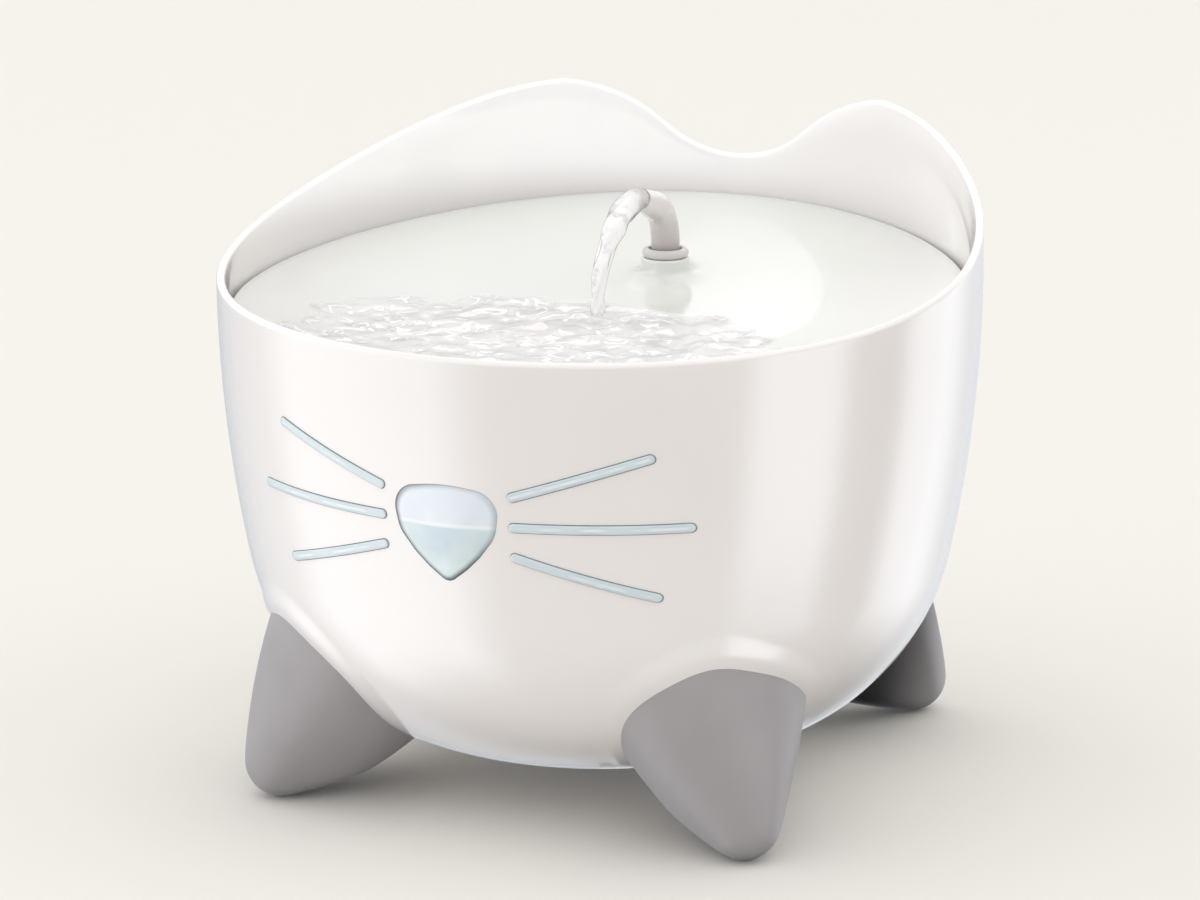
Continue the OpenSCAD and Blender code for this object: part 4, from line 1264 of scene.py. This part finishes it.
def water_jet(material):
    """The stream from the spout's mouth down to the pool."""
    # y, z, half width, half thickness
    knots = ((38.0, 187.6, 2.2, 2.2), (35.0, 188.5, 3.5, 3.5), (29.0, 189.2, 4.2, 4.0),
             (21.6, 187.0, 4.6, 3.8), (13.5, 183.4, 4.0, 3.4), (6.9, 178.2, 3.2, 2.8),
             (1.7, 171.0, 2.7, 2.3), (-1.2, 163.0, 2.3, 1.9), (-2.6, 157.0, 2.1, 1.9),
             (-3.0, 154.9, 2.4, 2.1), (-3.2, 153.6, 2.8, 2.5))
    line = curve_through(knots, 110)
    turn = full_turn(40)
    rows = []
    for i, (y, z, wide, thick) in enumerate(line):
        before = line[max(i - 1, 0)]
        after = line[min(i + 1, len(line) - 1)]
        way = np.array((0.0, after[0] - before[0], after[1] - before[1]))
        way /= np.linalg.norm(way)
        across = np.array((1.0, 0.0, 0.0))
        up = np.cross(way, across)
        run = i / len(line)
        ridge = 1 + 0.2 * run * np.sin(3 * turn + 19 * run) + 0.12 * run * np.sin(5 * turn - 37 * run)
        ridge += 0.13 * math.sin(29 * run + 7 * run * run) * run
        ring = np.array((0.0, y, z)) + (np.outer(np.cos(turn) * wide * ridge, across)
                                        + np.outer(np.sin(turn) * thick * ridge, up))
        rows.append(ring)
    rows.insert(0, np.tile(rows[0].mean(0), (len(turn), 1)))
    rows.append(np.tile(rows[-1].mean(0), (len(turn), 1)))
    piece = make_mesh("water_jet", *closed_rows(rows), SMOOTH)
    piece.data.materials.append(material)
    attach(piece, "spout")


def ripple_height(x, y):
    """Height of the broken water above its level."""
    from_jet = np.hypot(x - JET_FOOT[0], y - JET_FOOT[1])
    rng = np.random.default_rng(7)
    waves = 0.0
    bend = 0.0
    # wave length, number of waves, height
    for size, count, height in ((26.0, 8, 0.12), (15.0, 10, 0.085), (9.0, 10, 0.04)):
        for _ in range(count):
            way = rng.uniform(0, 2 * math.pi)
            phase = rng.uniform(0, 2 * math.pi)
            turns = 2 * math.pi / (size * rng.uniform(0.75, 1.3))
            along = x * math.cos(way) - y * math.sin(way)
            across = x * math.sin(way) + y * math.cos(way)
            wave = np.sin(along * turns + phase + 1.8 * np.sin(across * turns / 2.6 + phase))
            waves = waves + height * wave
        bend = bend + waves
    rings = np.sin(from_jet * 2 * math.pi / 11.0 + 1.5 * bend)
    return waves + 0.3 * np.exp(-from_jet / 38) * rings


def water_pool(material):
    """Shallow pool in the low part of the dish, broken by ripples that wet the dish around it."""
    turn = full_turn(360)
    towards_x = math.sin(VIEW_AZIMUTH)
    towards_y = -math.cos(VIEW_AZIMUTH)
    wobble = 1 + 0.035 * np.sin(7 * turn + 1) + 0.03 * np.sin(13 * turn) + 0.02 * np.sin(23 * turn + 2)
    rows = []
    leans = []
    shores = []
    step = 0.3
    for share in np.concatenate((np.linspace(0, 0.92, 130), np.linspace(0.93, 1.0, 12))):
        reach = share * (1 + (wobble - 1) * share)
        x = POOL_X + POOL_HALF_X * reach * np.cos(turn)
        y = POOL_Y + POOL_HALF_Y * reach * np.sin(turn)
        calm = 1 - max(0.0, (share - 0.85) / 0.15) ** 2
        height = ripple_height(x, y)
        level = POOL_Z + calm * height
        film = dish_height(x, y) + FILM * calm + 0.5 * calm * height
        z = np.maximum(np.maximum(level, film), dish_height(x, y) + 0.06)
        ahead = ripple_height(x + step * towards_x, y + step * towards_y)
        rows.append(np.stack((x, y, z), -1))
        leans.append((height - ahead) / step * calm)
        shores.append(np.full(len(turn), max(0.0, (share - 0.93) / 0.07) ** 2))
    points, faces = closed_rows(rows)
    piece = make_mesh("water_pool", points, faces, SMOOTH)
    if piece.data.polygons[0].normal.z < 0:
        piece.data.flip_normals()
    carry_value(piece, "lean", points, np.concatenate(leans))
    carry_value(piece, "shore", points, np.concatenate(shores))
    piece.data.materials.append(material)
    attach(piece, "tray")


# ---------------------------------------------------------------- solids that keep their shape

def dress_solids():
    """Gives each kept solid its finish."""
    pump = moulded("satin black moulding", rgb(58, 59, 62), rgb(48, 49, 52), 0.38, 0.1)
    finishes = {
        "riser_tube": clear_tube(),
        "filter_basket": moulded("matte grey moulding", rgb(120, 124, 128), rgb(110, 113, 117), 0.5),
        "filter_carbon": carbon_felt(),
        "filter_foam": open_foam("open white foam", rgb(238, 238, 234), rgb(188, 188, 182), 700.0),
        "pump_body": pump,
        "pump_cap": pump,
        "chamber_cover": pump,
        "suction_cups": soft_rubber("clear soft rubber", rgb(222, 225, 226), rgb(206, 210, 212), 0.25),
        "shaft_bushes": soft_rubber("black rubber", rgb(44, 44, 45), rgb(28, 28, 29), 0.6),
        "cord_grommet": soft_rubber("soft grey rubber", rgb(98, 98, 100), rgb(84, 84, 86), 0.55),
        "impeller_shaft": turned_steel("polished shaft"),
        "foot_screws": turned_steel("plain stainless steel"),
        "rotor_magnet": sintered_ferrite(),
        "impeller": moulded("natural white moulding", rgb(228, 227, 222), rgb(218, 216, 210), 0.4),
        "cap_sponge": open_foam("open dark foam", rgb(86, 90, 98), rgb(38, 40, 46), 520.0),
        "flow_dial": moulded("satin grey moulding", rgb(196, 198, 200), rgb(186, 188, 191), 0.35, 0.15),
    }
    for node, material in finishes.items():
        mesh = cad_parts[node].data
        mesh.materials.clear()
        mesh.materials.append(material)


# ---------------------------------------------------------------- studio

def studio():
    """Pale floor that curves up behind the piece, on a wide one that reaches to the horizon."""
    half = 6.0
    sweep = 1.2
    back = 5.0
    top = 5.0
    profile = [(-back, 0.0), (back, 0.0)]
    for a in np.linspace(0.1, math.pi / 2, 14):
        profile.append((back + sweep * math.sin(a), sweep - sweep * math.cos(a)))
    profile.append((back + sweep, top))
    spin_c = math.cos(VIEW_AZIMUTH)
    spin_s = math.sin(VIEW_AZIMUTH)
    rows = []
    for away, height in profile:
        rows.append([(side * spin_c - away * spin_s, side * spin_s + away * spin_c, height + FLOOR_Z)
                     for side in (-half, half)])
    points = np.array(rows).reshape(-1, 3) / MM
    faces = [[2 * i, 2 * i + 1, 2 * i + 3, 2 * i + 2] for i in range(len(profile) - 1)]
    corners = ((-1, -1), (1, -1), (1, 1), (-1, 1))
    wide = np.array([(x * FAR_FLOOR, y * FAR_FLOOR, FAR_FLOOR_Z) for x, y in corners]) / MM
    floor = make_mesh("studio_floor", *joined((points, faces), (wide, [[0, 1, 2, 3]])), SMOOTH)
    floor.data.materials.append(studio_floor())
    floor.visible_glossy = False
    bpy.context.scene.view_settings.view_transform = "Standard"


def soft_surround():
    """Light from all round, stronger low on the left and high on the right. Below the horizon, where
    only what the glossy shell mirrors is seen, it is dark in front with soft boxes on both sides.
    Angles are in degrees from the viewer, positive on the right; z is the sine of the elevation."""
    surround = bpy.data.worlds.new("surround")
    bpy.context.scene.world = surround
    shading = Shading(surround)
    x, y, z = shading.axes("Generated")
    aside = x * math.cos(VIEW_AZIMUTH) + y * math.sin(VIEW_AZIMUTH)
    ahead = x * math.sin(VIEW_AZIMUTH) - y * math.cos(VIEW_AZIMUTH)
    turn = aside.angle_from(ahead)
    low = 1 - z.between(0.3, 0.5)
    high = z.between(0.3, 0.5) * (1 - z.between(0.8, 0.95))
    left = turn.inside(-140.0, -40.0, 20.0)
    above = LIGHT_ALL + LIGHT_TOP * z.between(0.45, 0.95)
    above = above + left * (LIGHT_LOW_LEFT * low + LIGHT_HIGH_LEFT * high)
    above = above + turn.inside(40.0, 110.0, 15.0) * (LIGHT_LOW_RIGHT * low + LIGHT_HIGH_RIGHT * high)
    above = above + LIGHT_BEHIND * turn.size().between(115.0, 135.0) * (1 - z.between(0.5, 0.75))
    far_left = 1 - turn.between(-124.0, -100.0)
    below = MIRROR_FAR_LEFT * far_left + MIRROR_LEFT * (1 - far_left) * (1 - turn.between(-56.0, -32.0))
    below = below * z.between(-0.95, -0.7)
    far_back = turn.between(126.0, 146.0)
    right = MIRROR_BOX * turn.inside(46.0, 78.0, 6.0) + MIRROR_FAR_BACK * far_back
    right = right + MIRROR_BACK * turn.between(97.0, 111.0) * (1 - far_back)
    below = below + right * z.between(-0.7, -0.42)
    up = z.between(-0.04, 0.02)
    shade = shading.tree.nodes["Background"]
    near_horizon = 1 - z.between(0.05, 0.6)
    colour = shading.blend(up, MIRROR_LIGHT, shading.blend(near_horizon, WARM_LIGHT, COOL_LIGHT))
    shading.put(shade.inputs["Color"], colour)
    shading.put(shade.inputs["Strength"], below + up * (above - below))


def camera():
    back = Vector((math.sin(VIEW_AZIMUTH) * math.cos(VIEW_ELEVATION),
                   -math.cos(VIEW_AZIMUTH) * math.cos(VIEW_ELEVATION), math.sin(VIEW_ELEVATION)))
    lens = bpy.data.cameras.new("camera")
    lens.lens = LENS
    lens.sensor_width = 36.0
    lens.clip_end = 2 * FAR_FLOOR
    holder = bpy.data.objects.new("camera", lens)
    bpy.context.scene.collection.objects.link(holder)
    holder.location = Vector((0.0, 0.0, VIEW_HEIGHT)) + back * VIEW_DISTANCE
    holder.rotation_euler = (-back).to_track_quat("-Z", "Y").to_euler()
    bpy.context.scene.camera = holder


camera()
studio()
soft_surround()
# The shell's paler ear tone and glow of 0.13 are painted light; the tray gets none
shell_white = shell_plastic("glossy warm white shell", rgb(246, 242, 241), rgb(237, 232, 230),
                            rgb(248, 246, 245), 0.13)
tray_white = shell_plastic("glossy cool white tray", rgb(229, 230, 226), rgb(226, 227, 223),
                           rgb(229, 230, 226), 0.0)
bowl_shell(shell_white)
bowl_fittings(shell_white)
face_windows()
feet(foot_plastic())
drinking_tray(tray_white)
spout_collar(moulded("satin light grey", rgb(214, 211, 209), rgb(205, 202, 200), 0.3, 0.2))
spout_tube(spout_plastic())
water_jet(moving_water())
water_pool(pool_water())
dress_solids()
